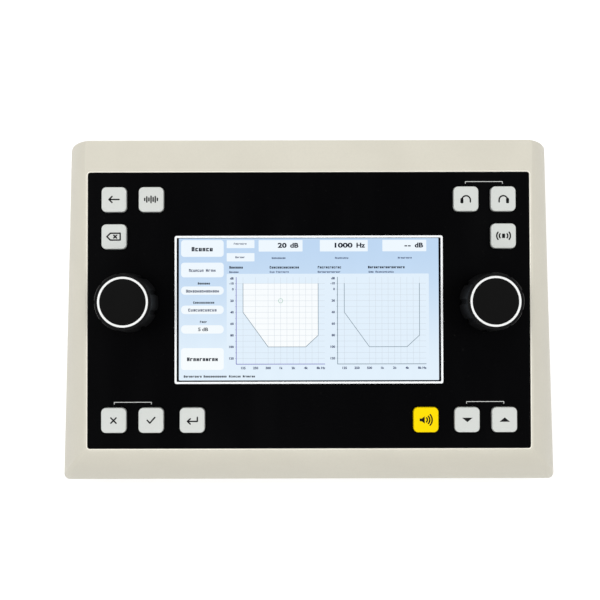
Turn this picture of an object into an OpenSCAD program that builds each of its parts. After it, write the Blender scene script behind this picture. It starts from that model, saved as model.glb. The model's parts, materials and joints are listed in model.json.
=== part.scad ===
// Desk audiometer: a sloping console with a lit display, twelve keys and two
// rotary dials on a black panel, and a connector bay in its rear wall.
// Frame: +X right, +Y to the rear, +Z up. The origin is under the middle of
// the case, on the surface that the feet stand on. Millimetres throughout.

/* [Case] */
// Width of the case at its widest line, the seam
case_w = 301.4; // [292:0.1:330]
// Depth of the case, front to rear, at the seam
case_l = 206; // [202:1:230]
// Height of the seam between the base and the top shell
seam_h = 22; // [21:0.5:26]
// Height of the middle of the front panel above the table
deck_h = 52.5; // [50:0.5:62]
// Slope of the deck, front to rear
deck_tilt = 5.3; // [4:0.1:8]
// How far the rear wall leans in between the seam and the deck
rear_lean = 3.5; // [2:0.5:6]
// Width of the strip of deck behind the panel
rear_strip = 19.2; // [16:0.2:22]
// Width of the curved band on each side of the deck
side_run = 17; // [15:0.5:20]
// Width of the shell's thin lip around the panel
panel_lip = 1.5; // [1:0.1:2]
// Radius of the case's two front corners at the seam
case_r = 3.5; // [2:0.5:5]
// Radius of the case's two rear corners
rear_r = 1.6; // [1:0.1:3]
// Corner radius of the deck
deck_r = 1.5; // [1:0.5:3]
// Wall of both shells
wall = 3; // [2.5:0.1:3.2]
// Thickness of the deck under the panel's edge
deck_t = 5; // [4.5:0.1:6]
// Floor of the base
floor_t = 2.5; // [2:0.1:3]
// Chamfer around the underside of the base
base_chamfer = 2.5; // [1:0.5:3]
// Height of the base's locating tongue above the seam
tongue_h = 1.2; // [0.8:0.1:1.4]
// Length of the cooling slots in the base
vent_l = 34; // [20:1:40]
// Width of the cooling slots in the base
vent_w = 2.6; // [2:0.1:3]
// Number of cooling slots in each of the two groups
vent_count = 7; // [3:1:8]

/* [Front panel] */
// Height of the black front panel along the slope
panel_l = 165; // [162:1:170]
// Thickness of the front panel
panel_t = 2; // [1.5:0.1:2.5]
// How far the panel's face lies below the shell's lip
panel_drop = 0.4; // [0.2:0.1:0.8]
// Corner radius of the panel
panel_r = 1.5; // [1:0.5:3]
// Width of the ledge that carries the panel's edge
ledge_w = 5; // [4:0.5:6]

/* [Display] */
// Width of the light frame around the display
frame_w = 160.4; // [158:0.2:164]
// Height of the light frame around the display
frame_l = 88.5; // [86:0.5:92]
// Width of the frame's visible edge
frame_edge = 1.25; // [1:0.05:2]
// Corner radius of the frame
frame_r = 1.2; // [0.8:0.1:2]
// How far the frame stands above the panel's face
frame_proud = 0.5; // [0.3:0.1:1]
// Offset of the display's centre from the panel's centre, up the slope
display_v = 0.2; // [0:0.1:1]
// Thickness of the foam gasket behind the panel
gasket_t = 0.6; // [0.4:0.1:1]
// Thickness of the touch glass
glass_t = 1.1; // [0.8:0.1:1.4]
// How far the touch glass reaches behind the panel's window on each side
glass_margin = 2; // [1.8:0.1:2.2]
// Thickness of the liquid-crystal panel
lcd_t = 2.6; // [2:0.1:3]
// Depth of the metal tray behind the liquid-crystal panel
tray_d = 5.6; // [5:0.1:6]
// Sheet thickness of the metal tray
tray_t = 0.6; // [0.5:0.1:0.8]

/* [Keys] */
// Side of a square key cap
key_s = 14.8; // [14:0.1:16]
// Corner radius of a key cap
key_r = 2.8; // [2:0.1:3.5]
// Height of a key's face above the panel's face
key_rise = 2.6; // [2.2:0.1:3.2]
// Chamfer around a key's face
key_edge = 0.5; // [0.3:0.1:0.8]
// Distance between neighbouring keys
key_pitch = 22.2; // [21:0.1:23]
// Distance from the second to the third key of the bottom rows
key_step = 24.5; // [22:0.1:26]
// Distance from the panel's side to the centre of the outer keys
key_side = 16; // [15:0.1:17]
// Distance from the panel's top and bottom to the centre of the keys
key_end = 16.7; // [16:0.1:18]
// How far up the slope the keys' middle lies from the panel's centre
key_shift = 0.3; // [0:0.1:1]
// Gap between a key and its hole in the panel
key_gap = 0.3; // [0.3:0.05:0.5]
// How far a key travels
key_travel = 1.2; // [0.8:0.1:1.4]
// Width of the stop flange around the foot of a key
key_flange = 1.1; // [0.8:0.1:1.4]
// Radius of the switch plunger
plunger_r = 1.6; // [1.3:0.1:2]
// Side of the switch body under a key
switch_s = 12; // [11:0.5:13]

/* [Dials] */
// Distance from the panel's side to a dial's axis
dial_side = 24.95; // [22:0.05:26]
// Offset of the dials from the panel's centre, up the slope
dial_v = 4.4; // [3:0.1:7]
// Radius of the dial at its foot, over the lobes
dial_foot_r = 17.6; // [16:0.1:19]
// Radius of the plain rim at the dial's face
dial_rim_r = 16.4; // [15.6:0.1:17]
// Height of the dial
dial_h = 23; // [20:0.5:26]
// Gap between the dial and the panel
dial_gap = 1; // [0.8:0.1:1.5]
// Number of lobes around the dial
dial_lobes = 9; // [7:1:12]
// Depth of the grooves between the lobes
groove_depth = 1; // [0.6:0.1:1.1]
// Radius of the grooves between the lobes
groove_r = 2; // [1.5:0.1:3]
// Outer radius of the light ring in the dial's face
ring_outer_r = 14.65; // [14.2:0.05:15.2]
// Width of the light ring in the dial's face
ring_w = 1.25; // [1:0.05:2.2]
// Depth of the recess that holds the ring and the cap
cap_depth = 1.4; // [1:0.1:1.8]
// Radius of the dial's shaft
shaft_r = 3; // [2.5:0.1:3]
// Radius of the threaded bushing around the shaft
bushing_r = 4.5; // [4.3:0.1:4.8]

/* [Electronics] */
// Thickness of the circuit boards
board_t = 1.6; // [1.2:0.1:2]
// Height of the main board's underside above the base's floor
board_lift = 4; // [3:0.5:5]
// Width of the main board
board_w = 224; // [222:1:232]
// Depth of the main board
board_l = 104; // [96:1:110]
// Distance from the panel's back to the key board
key_board_drop = 7.1; // [6.9:0.1:7.6]

/* [Connector bay] */
// Width of the connector bay in the rear wall
bay_w = 216; // [210:1:220]
// Height of the connector bay
bay_h = 21; // [20:0.5:22]
// Height of the bay's lower edge above the table
bay_z = 10; // [9.5:0.5:11]
// Depth of the bay from the rear of the case
bay_d = 8; // [7.5:0.5:10]
// Thickness of the connector plate
plate_t = 2; // [1.5:0.1:2.5]
// Bore radius of the phone jacks, for 6.35 mm plugs
jack_r = 3.2; // [3.2:0.05:3.3]
// Outer radius of the jacks' threaded noses
nose_r = 5.5; // [5:0.1:6]
// Distance between neighbouring jacks
jack_pitch = 24; // [20:1:26]
// Depth of the jacks' bores
jack_depth = 30; // [26:1:32]
// Height of the jacks' axes above the main board
jack_lift = 8; // [7.5:0.1:9]
// Width of the mains rocker switch's bezel
rocker_w = 21; // [19:0.5:23]
// Height of the mains rocker switch's bezel
rocker_h = 15; // [13:0.5:16]
// Swing of the rocker, end to end
rocker_swing = 14; // [8:1:16]

/* [Fixings] */
// Height of the feet below the base
foot_h = 3; // [2:0.5:4]
// Radius of a foot
foot_r = 6.5; // [5:0.5:8]
// Radius of the screws' shanks
screw_r = 1.5; // [1.25:0.05:1.6]
// Radius of the screws' heads
head_r = 2.8; // [2.4:0.1:3]
// Height of the screws' heads
head_h = 2; // [1.6:0.1:2.2]

/* [Hidden] */

// Colours, as the object shows them
SHELL = [0.86, 0.84, 0.78];
BLACK = [0.07, 0.07, 0.07];
DIAL = [0.10, 0.10, 0.10];
KEY = [0.88, 0.89, 0.87];
YELLOW = [0.98, 0.86, 0.02];
SCREEN = [0.80, 0.88, 0.96];
STEEL = [0.72, 0.73, 0.74];
BOARD = [0.08, 0.36, 0.20];
RUBBER = [0.12, 0.12, 0.12];

// Clearances
fit = 0.1;        // between a flat piece and its seat's side walls
run = 0.05;       // radial, between a shaft and its bore
eps = 0.01;       // thickness of the outlines that the case is drawn through

// The outline of the deck and where it lies
deck_w = case_w - 2 * side_run;
panel_w = deck_w - 2 * panel_lip;
deck_front = panel_l / 2 + panel_lip;
deck_rear = panel_l / 2 + rear_strip;
deck_rear_y = case_l / 2 - rear_lean;
deck_y = deck_rear_y - deck_rear * cos(deck_tilt);
deck_front_y = deck_y - deck_front * cos(deck_tilt);

// Levels along the deck's normal, 0 at the shell's lip
panel_top = -panel_drop;
panel_back = panel_top - panel_t;
glass_top = panel_back - gasket_t;
glass_back = glass_top - glass_t;
board_top = panel_back - key_board_drop;
board_back = board_top - board_t;
tray_back = glass_back - tray_d;

// Levels above the table
floor_top = foot_h + floor_t;
main_z = floor_top + board_lift;
main_top = main_z + board_t;

// The side's curve, from the deck's fold (0, 0) to the seam (1, 1): the first
// number is the share of the run outwards, the second the share of the fall
curve_mid = [0.65, 0.18];
curve_steps = 8;
function curve(t) = 2 * t * (1 - t) * curve_mid + t * t * [1, 1];

// Display sizes
window_w = frame_w + 2 * fit;
window_l = frame_l + 2 * fit;
glass_w = window_w + 2 * glass_margin;
glass_l = window_l + 2 * glass_margin;
tray_w = glass_w;
tray_l = glass_l + 8;
bracket_w = 8;
bracket_t = 0.8;
bracket_x = frame_w / 2 - 30;
bracket_v = tray_l / 2 + 6;
bracket_reach = 4;
bracket_end = 4;
tray_lip = 4;

// Key places on the panel
key_x = panel_w / 2 - key_side;
key_v = panel_l / 2 - key_end;
key_high_v = key_shift + key_v;
key_low_v = key_shift - key_v;
KEYS = [
    ["back", -key_x, key_high_v],
    ["mask", -key_x + key_pitch, key_high_v],
    ["delete", -key_x, key_high_v - key_pitch],
    ["left", key_x - key_pitch, key_high_v],
    ["right", key_x, key_high_v],
    ["bone", key_x, key_high_v - key_pitch],
    ["no", -key_x, key_low_v],
    ["yes", -key_x + key_pitch, key_low_v],
    ["enter", -key_x + key_pitch + key_step, key_low_v],
    ["signal", key_x - key_pitch - key_step, key_low_v],
    ["down", key_x - key_pitch, key_low_v],
    ["up", key_x, key_low_v]
];
key_rest_gap = 0.2;
flange_t = 1;
key_hole = key_s + 2 * key_gap;
flange_s = key_hole + 2 * key_flange;
flange_top = panel_back - key_rest_gap;
key_foot = flange_top - flange_t;
key_top = panel_top + key_rise;
key_skin = 1.5;
switch_top = key_foot - key_travel - 0.4;
socket_r = plunger_r + run;
plunger_top = key_top - key_skin - 0.1;
plunger_foot = board_top + key_travel + 0.3;

// Dial places and levels
dial_x = panel_w / 2 - dial_side;
dial_foot = panel_top + dial_gap;
dial_top = dial_foot + dial_h;
bushing_top = panel_top + 5.5;
nut_h = 2.2;
nut_r = 7.2;
encoder_s = 14;
shaft_top = dial_top - cap_depth - 1.2;
shaft_flat = shaft_r * 0.5;
shaft_foot = board_top + 1.5;
nut_pocket_r = nut_r + 1;
dial_pocket_top = bushing_top + 0.8;

// Standoffs between the panel and the key board
standoff_r = 2.75;
standoff_in = key_pitch / 2 + 1.9;
STANDOFFS = [
    for (sx = [-1, 1], sv = [-1, 1]) each [
        [sx * (key_x - standoff_in), key_shift + sv * (key_v - standoff_in), 0],
        [sx * bracket_x, sv * bracket_v + display_v, bracket_t]
    ]
];

// Key board outline, with a window around the display
key_board_w = 2 * (key_x + 8.5);
key_board_l = 2 * (key_v + 8.5);
window_gap = 1.5;

// Connector bay and plate
collar_t = 2.6;
groove = 1.6;
plate_y = case_l / 2 - bay_d - plate_t;
plate_grip = groove - 0.2;
plate_w = bay_w + 2 * plate_grip;
plate_l = bay_h + 2 * plate_grip;
bay_mid = bay_z + bay_h / 2;
collar_y = plate_y - 2;

// Connectors along the plate, seen from behind with +X on the left
jack_x0 = -bay_w / 2 + 18;
JACKS = [for (i = [0:3]) jack_x0 + i * jack_pitch];
jack_z = main_top + jack_lift;
usb_x = 16;
usb_w = 12;
usb_h = 10.8;
usb_l = 17;
power_x = 44;
power_s = 11;
power_l = 14.5;
power_bore_r = 3.15;
power_pin_r = 1;
socket_out = 1;
rocker_x = 82;
rocker_y = plate_y + plate_t + 2.6;
housing_d = 16;

// Case screws and feet
post_x = (deck_w + case_w) / 4 - 7.5;
post_r = 3.6;
POSTS = [
    for (sx = [-1, 1]) each [
        [sx * post_x, -case_l / 2 + 15],
        [sx * post_x, 2],
        [sx * post_x, case_l / 2 - 13]
    ]
];
screw_seat = foot_h + 3;
screw_tip = seam_h + 8.5;
foot_x = case_w / 2 - 26;
foot_y = case_l / 2 - 24;
foot_sunk = 1.2;

// Main board fixings
board_y1 = collar_y - 0.4;
board_y0 = board_y1 - board_l;
boss_r = 3.4;
BOSSES = [for (sx = [-1, 1], y = [board_y0 + 6, board_y1 - 32]) [sx * (board_w / 2 - 6), y]];

// What stands on the main board: places as shares of the board's width (from
// its middle) and depth (from its front), then width, length and height
CHIPS = [
    [-0.22, 0.38, 20, 20, 1.4],
    [-0.1, 0.4, 12, 16, 1.2],
    [0.13, 0.42, 10, 10, 1.2],
    [0.27, 0.42, 14, 10, 1.6]
];
RELAYS = [for (i = [0:3]) [-0.43 + 0.0625 * i, 0.12, 10, 15, 9]];
HEADERS = [for (sx = [-1, 1]) [sx * 0.116, 0.135, 26, 6, 3.5]];
can_r = 4;
can_h = 11;
can_pitch = 3 * can_r;
sink_s = 24;
sink_h = 10;
sink_fin = 2.2;

module on_deck() {
    translate([0, deck_y, deck_h])
    rotate([deck_tilt, 0, 0])
    children();
}

// A rectangle with rounded corners, whose two rear ones may have their own radius
module rounded_rect(w, l, r, rear = undef) {
    rb = is_undef(rear) ? r : rear;
    for (half = [[-1, r], [1, rb]]) {
        translate([0, half[0] * l / 4])
        square([w - 2 * half[1], l / 2 + eps], center = true);
        for (sx = [-1, 1])
            translate([sx * (w / 2 - half[1]), half[0] * (l / 2 - half[1])])
            circle(half[1], $fn = 32);
    }
    translate([0, (r - rb) / 2])
    square([w, l - r - rb], center = true);
}

// A rounded plate that hangs down from level z
module plate(w, l, r, z, t) {
    translate([0, 0, z - t])
    linear_extrude(t)
    rounded_rect(w, l, r);
}

// One outline of the case: share is the (run, fall) reached between deck and seam
module case_outline(share, inset) {
    hold = 1 - share[1];
    slope = atan(hold * tan(deck_tilt));
    y0 = deck_front_y - share[0] * (case_l / 2 + deck_front_y) + inset;
    y1 = deck_rear_y + share[1] * rear_lean - inset;
    w = deck_w + share[0] * (case_w - deck_w) - 2 * inset;
    r = max(deck_r + share[0] * (case_r - deck_r) - inset, 0.5);
    rear = max(rear_r - inset, 0.5);
    translate([0, deck_y, seam_h + hold * (deck_h - seam_h)])
    rotate([slope, 0, 0])
    translate([0, ((y0 + y1) / 2 - deck_y) / cos(slope), -hold * eps])
    linear_extrude(eps)
    rounded_rect(w, (y1 - y0) / cos(slope), r, rear);
}

// The case above the seam, drawn inside its outer face by the inset
module case_form(inset = 0) {
    hull()
        for (i = [0:curve_steps])
            case_outline(curve(i / curve_steps), inset);
}

// A block that holds everything above a level of the deck
module above_deck(w) {
    on_deck()
    translate([0, 0, w + deck_h])
    cube([2 * case_w, 2 * case_l, 2 * deck_h], center = true);
}

// A block of the case's plan from z0 to z1, inset from its outer face
module plan_block(inset, z0, z1) {
    translate([0, 0, z0])
    linear_extrude(z1 - z0)
    rounded_rect(
        case_w - 2 * inset, case_l - 2 * inset, max(case_r - inset, 0.5), max(rear_r - inset, 0.5)
    );
}

// The bay's opening and its collar, over the heights from z0 to z1
module bay_hole(z0, z1) {
    translate([-bay_w / 2, collar_y - 1, z0])
    cube([bay_w, case_l, z1 - z0]);
}

module bay_slot(z0, z1) {
    translate([-plate_w / 2 - fit, plate_y - fit, z0])
    cube([plate_w + 2 * fit, plate_t + 2 * fit, z1 - z0]);
}

module bay_collar(z0, z1) {
    translate([-bay_w / 2 - collar_t, collar_y, z0])
    cube([bay_w + 2 * collar_t, case_l / 2 - 1 - collar_y, z1 - z0]);
}

module base_shell() {
    tongue_in = wall - 1;
    color(SHELL)
    difference() {
        union() {
            difference() {
                hull() {
                    plan_block(base_chamfer, foot_h, foot_h + base_chamfer);
                    plan_block(0, foot_h + base_chamfer, seam_h);
                }
                plan_block(wall, floor_top, seam_h + 1);
            }
            difference() {
                plan_block(tongue_in, seam_h - 2, seam_h + tongue_h);
                plan_block(wall, seam_h - 3, seam_h + tongue_h + 1);
            }
            bay_collar(floor_top - 1, seam_h);
            for (p = POSTS)
                translate([p[0], p[1], foot_h + 1])
                cylinder(r = post_r + 0.8, h = seam_h - fit - foot_h - 1, $fn = 48);
            for (p = BOSSES)
                translate([p[0], p[1], floor_top - 1])
                cylinder(r = boss_r, h = board_lift + 1, $fn = 48);
        }
        bay_hole(bay_z, seam_h + tongue_h + 1);
        bay_slot(bay_z - plate_grip - fit, seam_h + tongue_h + 1);
        for (p = POSTS)
            translate([p[0], p[1], foot_h - 1]) {
                cylinder(r = screw_r + 0.2, h = seam_h, $fn = 48);
                cylinder(r = head_r + 0.3, h = screw_seat - foot_h + 1, $fn = 48);
            }
        for (p = BOSSES)
            translate([p[0], p[1], floor_top])
            cylinder(r = screw_r + run, h = board_lift + 1, $fn = 48);
        for (sx = [-1, 1], sy = [-1, 1])
            translate([sx * foot_x, sy * foot_y, foot_h - 1])
            cylinder(r = foot_r + fit, h = foot_sunk + 1, $fn = 64);
        for (sx = [-1, 1], i = [0:vent_count - 1])
            translate([sx * board_w / 4, -case_l / 2 + 30 + 2 * vent_w * i, foot_h])
            cube([vent_l, vent_w, 4 * floor_t], center = true);
    }
}

module top_shell() {
    tongue_in = wall - 1 - fit;
    panel_hole = [panel_w + 2 * fit, panel_l + 2 * fit];
    color(SHELL)
    difference() {
        union() {
            difference() {
                case_form();
                difference() {
                    case_form(wall);
                    above_deck(-deck_t);
                }
                plan_block(wall, seam_h - 1, seam_h + eps);
            }
            intersection() {
                case_form(1);
                union() {
                    for (p = POSTS)
                        translate([p[0], p[1], seam_h])
                        cylinder(r = post_r, h = deck_h, $fn = 48);
                    difference() {
                        bay_collar(seam_h, bay_z + bay_h + collar_t);
                        bay_hole(seam_h - 1, bay_z + bay_h);
                    }
                }
            }
        }
        on_deck() {
            plate(panel_hole[0], panel_hole[1], panel_r + fit, 1, 1 - panel_back);
            plate(panel_w - 2 * ledge_w, panel_l - 2 * ledge_w, panel_r, 1, deck_t + 2);
        }
        difference() {
            plan_block(tongue_in, seam_h - 1, seam_h + tongue_h + 2 * fit);
            plan_block(wall + 2 * fit, seam_h - 2, seam_h + tongue_h + 1);
        }
        bay_hole(seam_h - 1, bay_z + bay_h);
        bay_slot(seam_h - 1, bay_z + bay_h + plate_grip + fit);
        for (p = POSTS)
            translate([p[0], p[1], seam_h - 1])
            cylinder(r = screw_r + run, h = screw_tip - seam_h + 2, $fn = 48);
    }
}

module rear_panel() {
    color(SHELL)
    difference() {
        translate([-plate_w / 2, plate_y, bay_mid - plate_l / 2])
        cube([plate_w, plate_t, plate_l]);
        for (x = JACKS)
            translate([x, plate_y - 1, jack_z])
            rotate([-90, 0, 0])
            cylinder(r = nose_r + 0.2, h = plate_t + 2, $fn = 64);
        translate([usb_x, plate_y, main_top + usb_h / 2])
        cube([usb_w + 0.6, 4 * plate_t, usb_h + 0.6], center = true);
        translate([power_x, plate_y, main_top + power_s / 2])
        cube([power_s + 0.6, 4 * plate_t, power_s + 0.6], center = true);
        translate([rocker_x, plate_y, bay_mid])
        cube([rocker_w - 2 + 2 * fit, 4 * plate_t, rocker_h - 2 + 2 * fit], center = true);
    }
}

module faceplate() {
    color(BLACK)
    on_deck()
    difference() {
        plate(panel_w, panel_l, panel_r, panel_top, panel_t);
        translate([0, display_v, 0])
        plate(window_w, window_l, frame_r + fit, 1, panel_t + 2);
        for (k = KEYS)
            translate([k[1], k[2], 0])
            plate(key_hole, key_hole, key_r + key_gap, 1, panel_t + 2);
        for (s = [-1, 1])
            translate([s * dial_x, dial_v, panel_back - 1])
            cylinder(r = bushing_r + fit, h = panel_t + 2, $fn = 64);
    }
}

module window_frame() {
    depth = frame_proud + panel_t + gasket_t;
    color(KEY)
    on_deck()
    translate([0, display_v, 0])
    difference() {
        plate(frame_w, frame_l, frame_r, panel_top + frame_proud, depth);
        plate(frame_w - 2 * frame_edge, frame_l - 2 * frame_edge, 0.5, 2, depth + 4);
    }
}

module display_gasket() {
    color(RUBBER)
    on_deck()
    translate([0, display_v, 0])
    difference() {
        plate(glass_w, glass_l, frame_r + 1, panel_back, gasket_t);
        plate(window_w, window_l, frame_r + fit, 0, panel_t + gasket_t + 1);
    }
}

module touch_glass() {
    color(SCREEN)
    on_deck()
    translate([0, display_v, 0])
    plate(glass_w, glass_l, frame_r + 1, glass_top, glass_t);
}

module lcd_panel() {
    inside = 2 * (tray_t + fit);
    color(SCREEN)
    on_deck()
    translate([0, display_v, 0])
    plate(tray_w - inside, tray_l - inside, 1, glass_back, lcd_t);
}

module lcd_frame() {
    color(STEEL)
    on_deck()
    translate([0, display_v, 0])
    difference() {
        plate(tray_w, tray_l, 1, glass_back, tray_d);
        plate(tray_w - 2 * tray_t, tray_l - 2 * tray_t, 1, glass_back + 1, lcd_t + 1);
        plate(
            tray_w - 2 * tray_lip, tray_l - 2 * tray_lip, 1,
            glass_back - lcd_t + 1, tray_d - lcd_t - tray_t + 1
        );
    }
}

module display_brackets() {
    inner_v = tray_l / 2 - bracket_reach;
    color(STEEL)
    on_deck()
    translate([0, display_v, 0])
    for (sx = [-1, 1], sv = [-1, 1])
        translate([sx * bracket_x, 0, 0])
        mirror([0, sv > 0 ? 0 : 1, 0])
        difference() {
            union() {
                translate([-bracket_w / 2, inner_v, board_back - bracket_t])
                cube([bracket_w, bracket_v + bracket_end - inner_v, bracket_t]);
                translate([-bracket_w / 2, inner_v, board_back - bracket_t / 2])
                cube([bracket_w, bracket_reach - 0.5, tray_back - board_back + bracket_t / 2]);
            }
            translate([0, bracket_v, board_back - 2 * bracket_t])
            cylinder(r = screw_r + 0.1, h = 3 * bracket_t, $fn = 48);
        }
}

module key_board() {
    window_l_side = tray_l + 2 * window_gap;
    color(BOARD)
    on_deck()
    difference() {
        plate(key_board_w, key_board_l, 2, board_top, board_t);
        translate([0, display_v, 0])
        plate(tray_w + 2 * window_gap, window_l_side, 1, board_top + 1, board_t + 2);
        for (s = STANDOFFS)
            translate([s[0], s[1], board_back - 1])
            cylinder(r = screw_r + 0.1, h = board_t + 2, $fn = 48);
    }
}

module panel_standoffs() {
    color(STEEL)
    on_deck()
    for (s = STANDOFFS)
        translate([s[0], s[1], board_top])
        difference() {
            cylinder(r = standoff_r, h = key_board_drop, $fn = 48);
            translate([0, 0, -1])
            cylinder(r = screw_r + run, h = key_board_drop, $fn = 48);
        }
}

module key_switches() {
    color(RUBBER)
    on_deck()
    for (k = KEYS)
        translate([k[1], k[2], 0])
        difference() {
            plate(switch_s, switch_s, 0.6, switch_top, switch_top - board_top);
            translate([0, 0, board_top + 0.2])
            cylinder(r = socket_r, h = key_board_drop, $fn = 48);
        }
}

// One key cap: a face, a skirt with a stop flange, and a socket for the plunger
module key_cap(i, tint = KEY) {
    hollow = key_s - 2 * key_skin;
    color(tint)
    on_deck()
    translate([KEYS[i][1], KEYS[i][2], 0])
    difference() {
        union() {
            hull() {
                plate(key_s - 2 * key_edge, key_s - 2 * key_edge, key_r - key_edge, key_top, eps);
                plate(key_s, key_s, key_r, key_top - key_edge, key_top - key_edge - key_foot);
            }
            plate(flange_s, flange_s, key_r, flange_top, flange_t);
        }
        difference() {
            plate(hollow, hollow, key_r - key_skin + 0.5, key_top - key_skin,
                key_top - key_skin - key_foot + 1);
            translate([0, 0, flange_top])
            cylinder(r = socket_r + 1.2, h = key_rise + panel_t + 2, $fn = 48);
        }
        translate([0, 0, key_foot - 1])
        cylinder(r = socket_r, h = key_top - key_skin - key_foot + 1, $fn = 48);
    }
}

module plunger(i) {
    color(RUBBER)
    on_deck()
    translate([KEYS[i][1], KEYS[i][2], plunger_foot])
    cylinder(r = plunger_r, h = plunger_top - plunger_foot, $fn = 48);
}

module encoder_bodies() {
    color(STEEL)
    on_deck()
    for (s = [-1, 1])
        translate([s * dial_x, dial_v, 0])
        difference() {
            union() {
                plate(encoder_s, encoder_s, 1, panel_back, key_board_drop);
                translate([0, 0, panel_back - 1])
                cylinder(r = bushing_r, h = bushing_top - panel_back + 1, $fn = 64);
            }
            translate([0, 0, board_top + 1])
            cylinder(r = shaft_r + run, h = 2 * key_board_drop, $fn = 64);
        }
}

module encoder_nuts() {
    color(STEEL)
    on_deck()
    for (s = [-1, 1])
        translate([s * dial_x, dial_v, panel_top])
        difference() {
            cylinder(r = nut_r, h = nut_h, $fn = 6);
            translate([0, 0, -1])
            cylinder(r = bushing_r + run, h = nut_h + 2, $fn = 64);
        }
}

// A round shaft with its upper end flatted, r wide
module flatted(r, z0, z1) {
    difference() {
        translate([0, 0, z0])
        cylinder(r = r, h = z1 - z0, $fn = 64);
        translate([shaft_flat + (r - shaft_r), -2 * r, bushing_top])
        cube([4 * r, 4 * r, z1]);
    }
}

module dial_shaft(side) {
    color(STEEL)
    on_deck()
    translate([side * dial_x, dial_v, 0])
    flatted(shaft_r, shaft_foot, shaft_top);
}

module dial(side) {
    shoulder = 2.2;
    upper_r = dial_rim_r + 0.35 * (dial_foot_r - dial_rim_r);
    color(DIAL)
    on_deck()
    translate([side * dial_x, dial_v, 0])
    difference() {
        rotate_extrude($fn = 96)
        polygon([
            [0, dial_foot],
            [dial_foot_r - 0.6, dial_foot],
            [dial_foot_r, dial_foot + 0.6],
            [upper_r, dial_top - shoulder],
            [dial_rim_r, dial_top - 0.5],
            [dial_rim_r - 0.5, dial_top],
            [0, dial_top]
        ]);
        for (i = [0:dial_lobes - 1])
            rotate([0, 0, (i + 0.5) * 360 / dial_lobes])
            translate([dial_foot_r + groove_r - groove_depth, 0, dial_foot - 1])
            cylinder(r = groove_r, h = dial_h + 2, $fn = 48);
        translate([0, 0, dial_top - cap_depth])
        cylinder(r = ring_outer_r + run, h = cap_depth + 1, $fn = 96);
        translate([0, 0, dial_foot - 1])
        cylinder(r = nut_pocket_r, h = dial_pocket_top - dial_foot + 1, $fn = 64);
        flatted(shaft_r + run, dial_foot, shaft_top + 0.2);
    }
}

module dial_ring(side) {
    color(KEY)
    on_deck()
    translate([side * dial_x, dial_v, dial_top - cap_depth])
    difference() {
        cylinder(r = ring_outer_r, h = cap_depth, $fn = 96);
        translate([0, 0, -1])
        cylinder(r = ring_outer_r - ring_w, h = cap_depth + 2, $fn = 96);
    }
}

module dial_cap(side) {
    color(DIAL)
    on_deck()
    translate([side * dial_x, dial_v, dial_top - cap_depth])
    cylinder(r = ring_outer_r - ring_w - run, h = cap_depth - 0.2, $fn = 96);
}

module main_board() {
    color(BOARD)
    difference() {
        translate([-board_w / 2, board_y0, main_z])
        cube([board_w, board_l, board_t]);
        for (p = BOSSES)
            translate([p[0], p[1], main_z - 1])
            cylinder(r = screw_r + 0.1, h = board_t + 2, $fn = 48);
    }
}

module on_board(part) {
    translate([part[0] * board_w - part[2] / 2, board_y0 + part[1] * board_l - part[3] / 2, main_top])
    cube([part[2], part[3], part[4]]);
}

// What the main board carries: chips, relays, a heat sink, capacitors and the
// two ribbon headers
module board_components() {
    color(RUBBER)
    for (part = concat(CHIPS, RELAYS))
        on_board(part);
    color(STEEL) {
        translate([board_w * 0.375, board_y0 + board_l / 3, main_top])
        difference() {
            translate([-sink_s / 2, -sink_s / 2, 0])
            cube([sink_s, sink_s, sink_h]);
            for (i = [-2:2])
                translate([(2 * i - 0.5) * sink_fin, -sink_s, 2])
                cube([sink_fin, 2 * sink_s, sink_h]);
        }
        for (i = [0:4])
            translate([can_pitch * (i + 0.5), board_y0 + 0.6 * board_l, main_top])
            cylinder(r = can_r, h = can_h, $fn = 48);
    }
    color(KEY)
    for (part = HEADERS)
        on_board(part);
}

// Flat ribbon cables, drawn in the side view (y, z) and given their width
ribbon_x = HEADERS[1][0] * board_w;
ribbon_w = 20;
ribbon_t = 0.4;
ribbon_bend = 5;
ribbon_up = main_top + HEADERS[1][4];
ribbon_from = board_y0 + HEADERS[1][1] * board_l;

module ribbon(points, x) {
    translate([x - ribbon_w / 2, 0, 0])
    rotate([90, 0, 90])
    linear_extrude(ribbon_w) {
        for (i = [0:len(points) - 2]) {
            step = points[i + 1] - points[i];
            translate(points[i])
            rotate(atan2(step[1], step[0]))
            translate([0, -ribbon_t / 2])
            square([norm(step), ribbon_t]);
        }
        for (i = [1:len(points) - 2])
            translate(points[i])
            circle(ribbon_t / 2, $fn = 16);
    }
}

// A place in the side view, under the deck: v along the slope, w below it
function below_deck(v, w) = [
    deck_y + v * cos(deck_tilt) - w * sin(deck_tilt),
    deck_h + v * sin(deck_tilt) + w * cos(deck_tilt)
];

module display_ribbon() {
    ribbon_v = -tray_l / 4;
    color([0.75, 0.6, 0.4])
    ribbon([
        [ribbon_from, ribbon_up],
        [ribbon_from, ribbon_up + ribbon_bend],
        [ribbon_from - ribbon_bend, ribbon_up + 2 * ribbon_bend],
        below_deck(ribbon_v - ribbon_bend, tray_back - 1.2 * ribbon_bend),
        below_deck(ribbon_v, tray_back - 0.6 * ribbon_bend),
        below_deck(ribbon_v, tray_back)
    ], ribbon_x);
}

module key_ribbon() {
    ribbon_v = -0.63 * tray_l;
    color([0.85, 0.85, 0.85])
    ribbon([
        [ribbon_from, ribbon_up],
        [ribbon_from, ribbon_up + 0.8 * ribbon_bend],
        [ribbon_from - ribbon_bend, ribbon_up + 1.5 * ribbon_bend],
        below_deck(ribbon_v + ribbon_bend, board_back - 1.4 * ribbon_bend),
        below_deck(ribbon_v, board_back - 0.8 * ribbon_bend),
        below_deck(ribbon_v, board_back)
    ], -ribbon_x);
}

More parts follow.
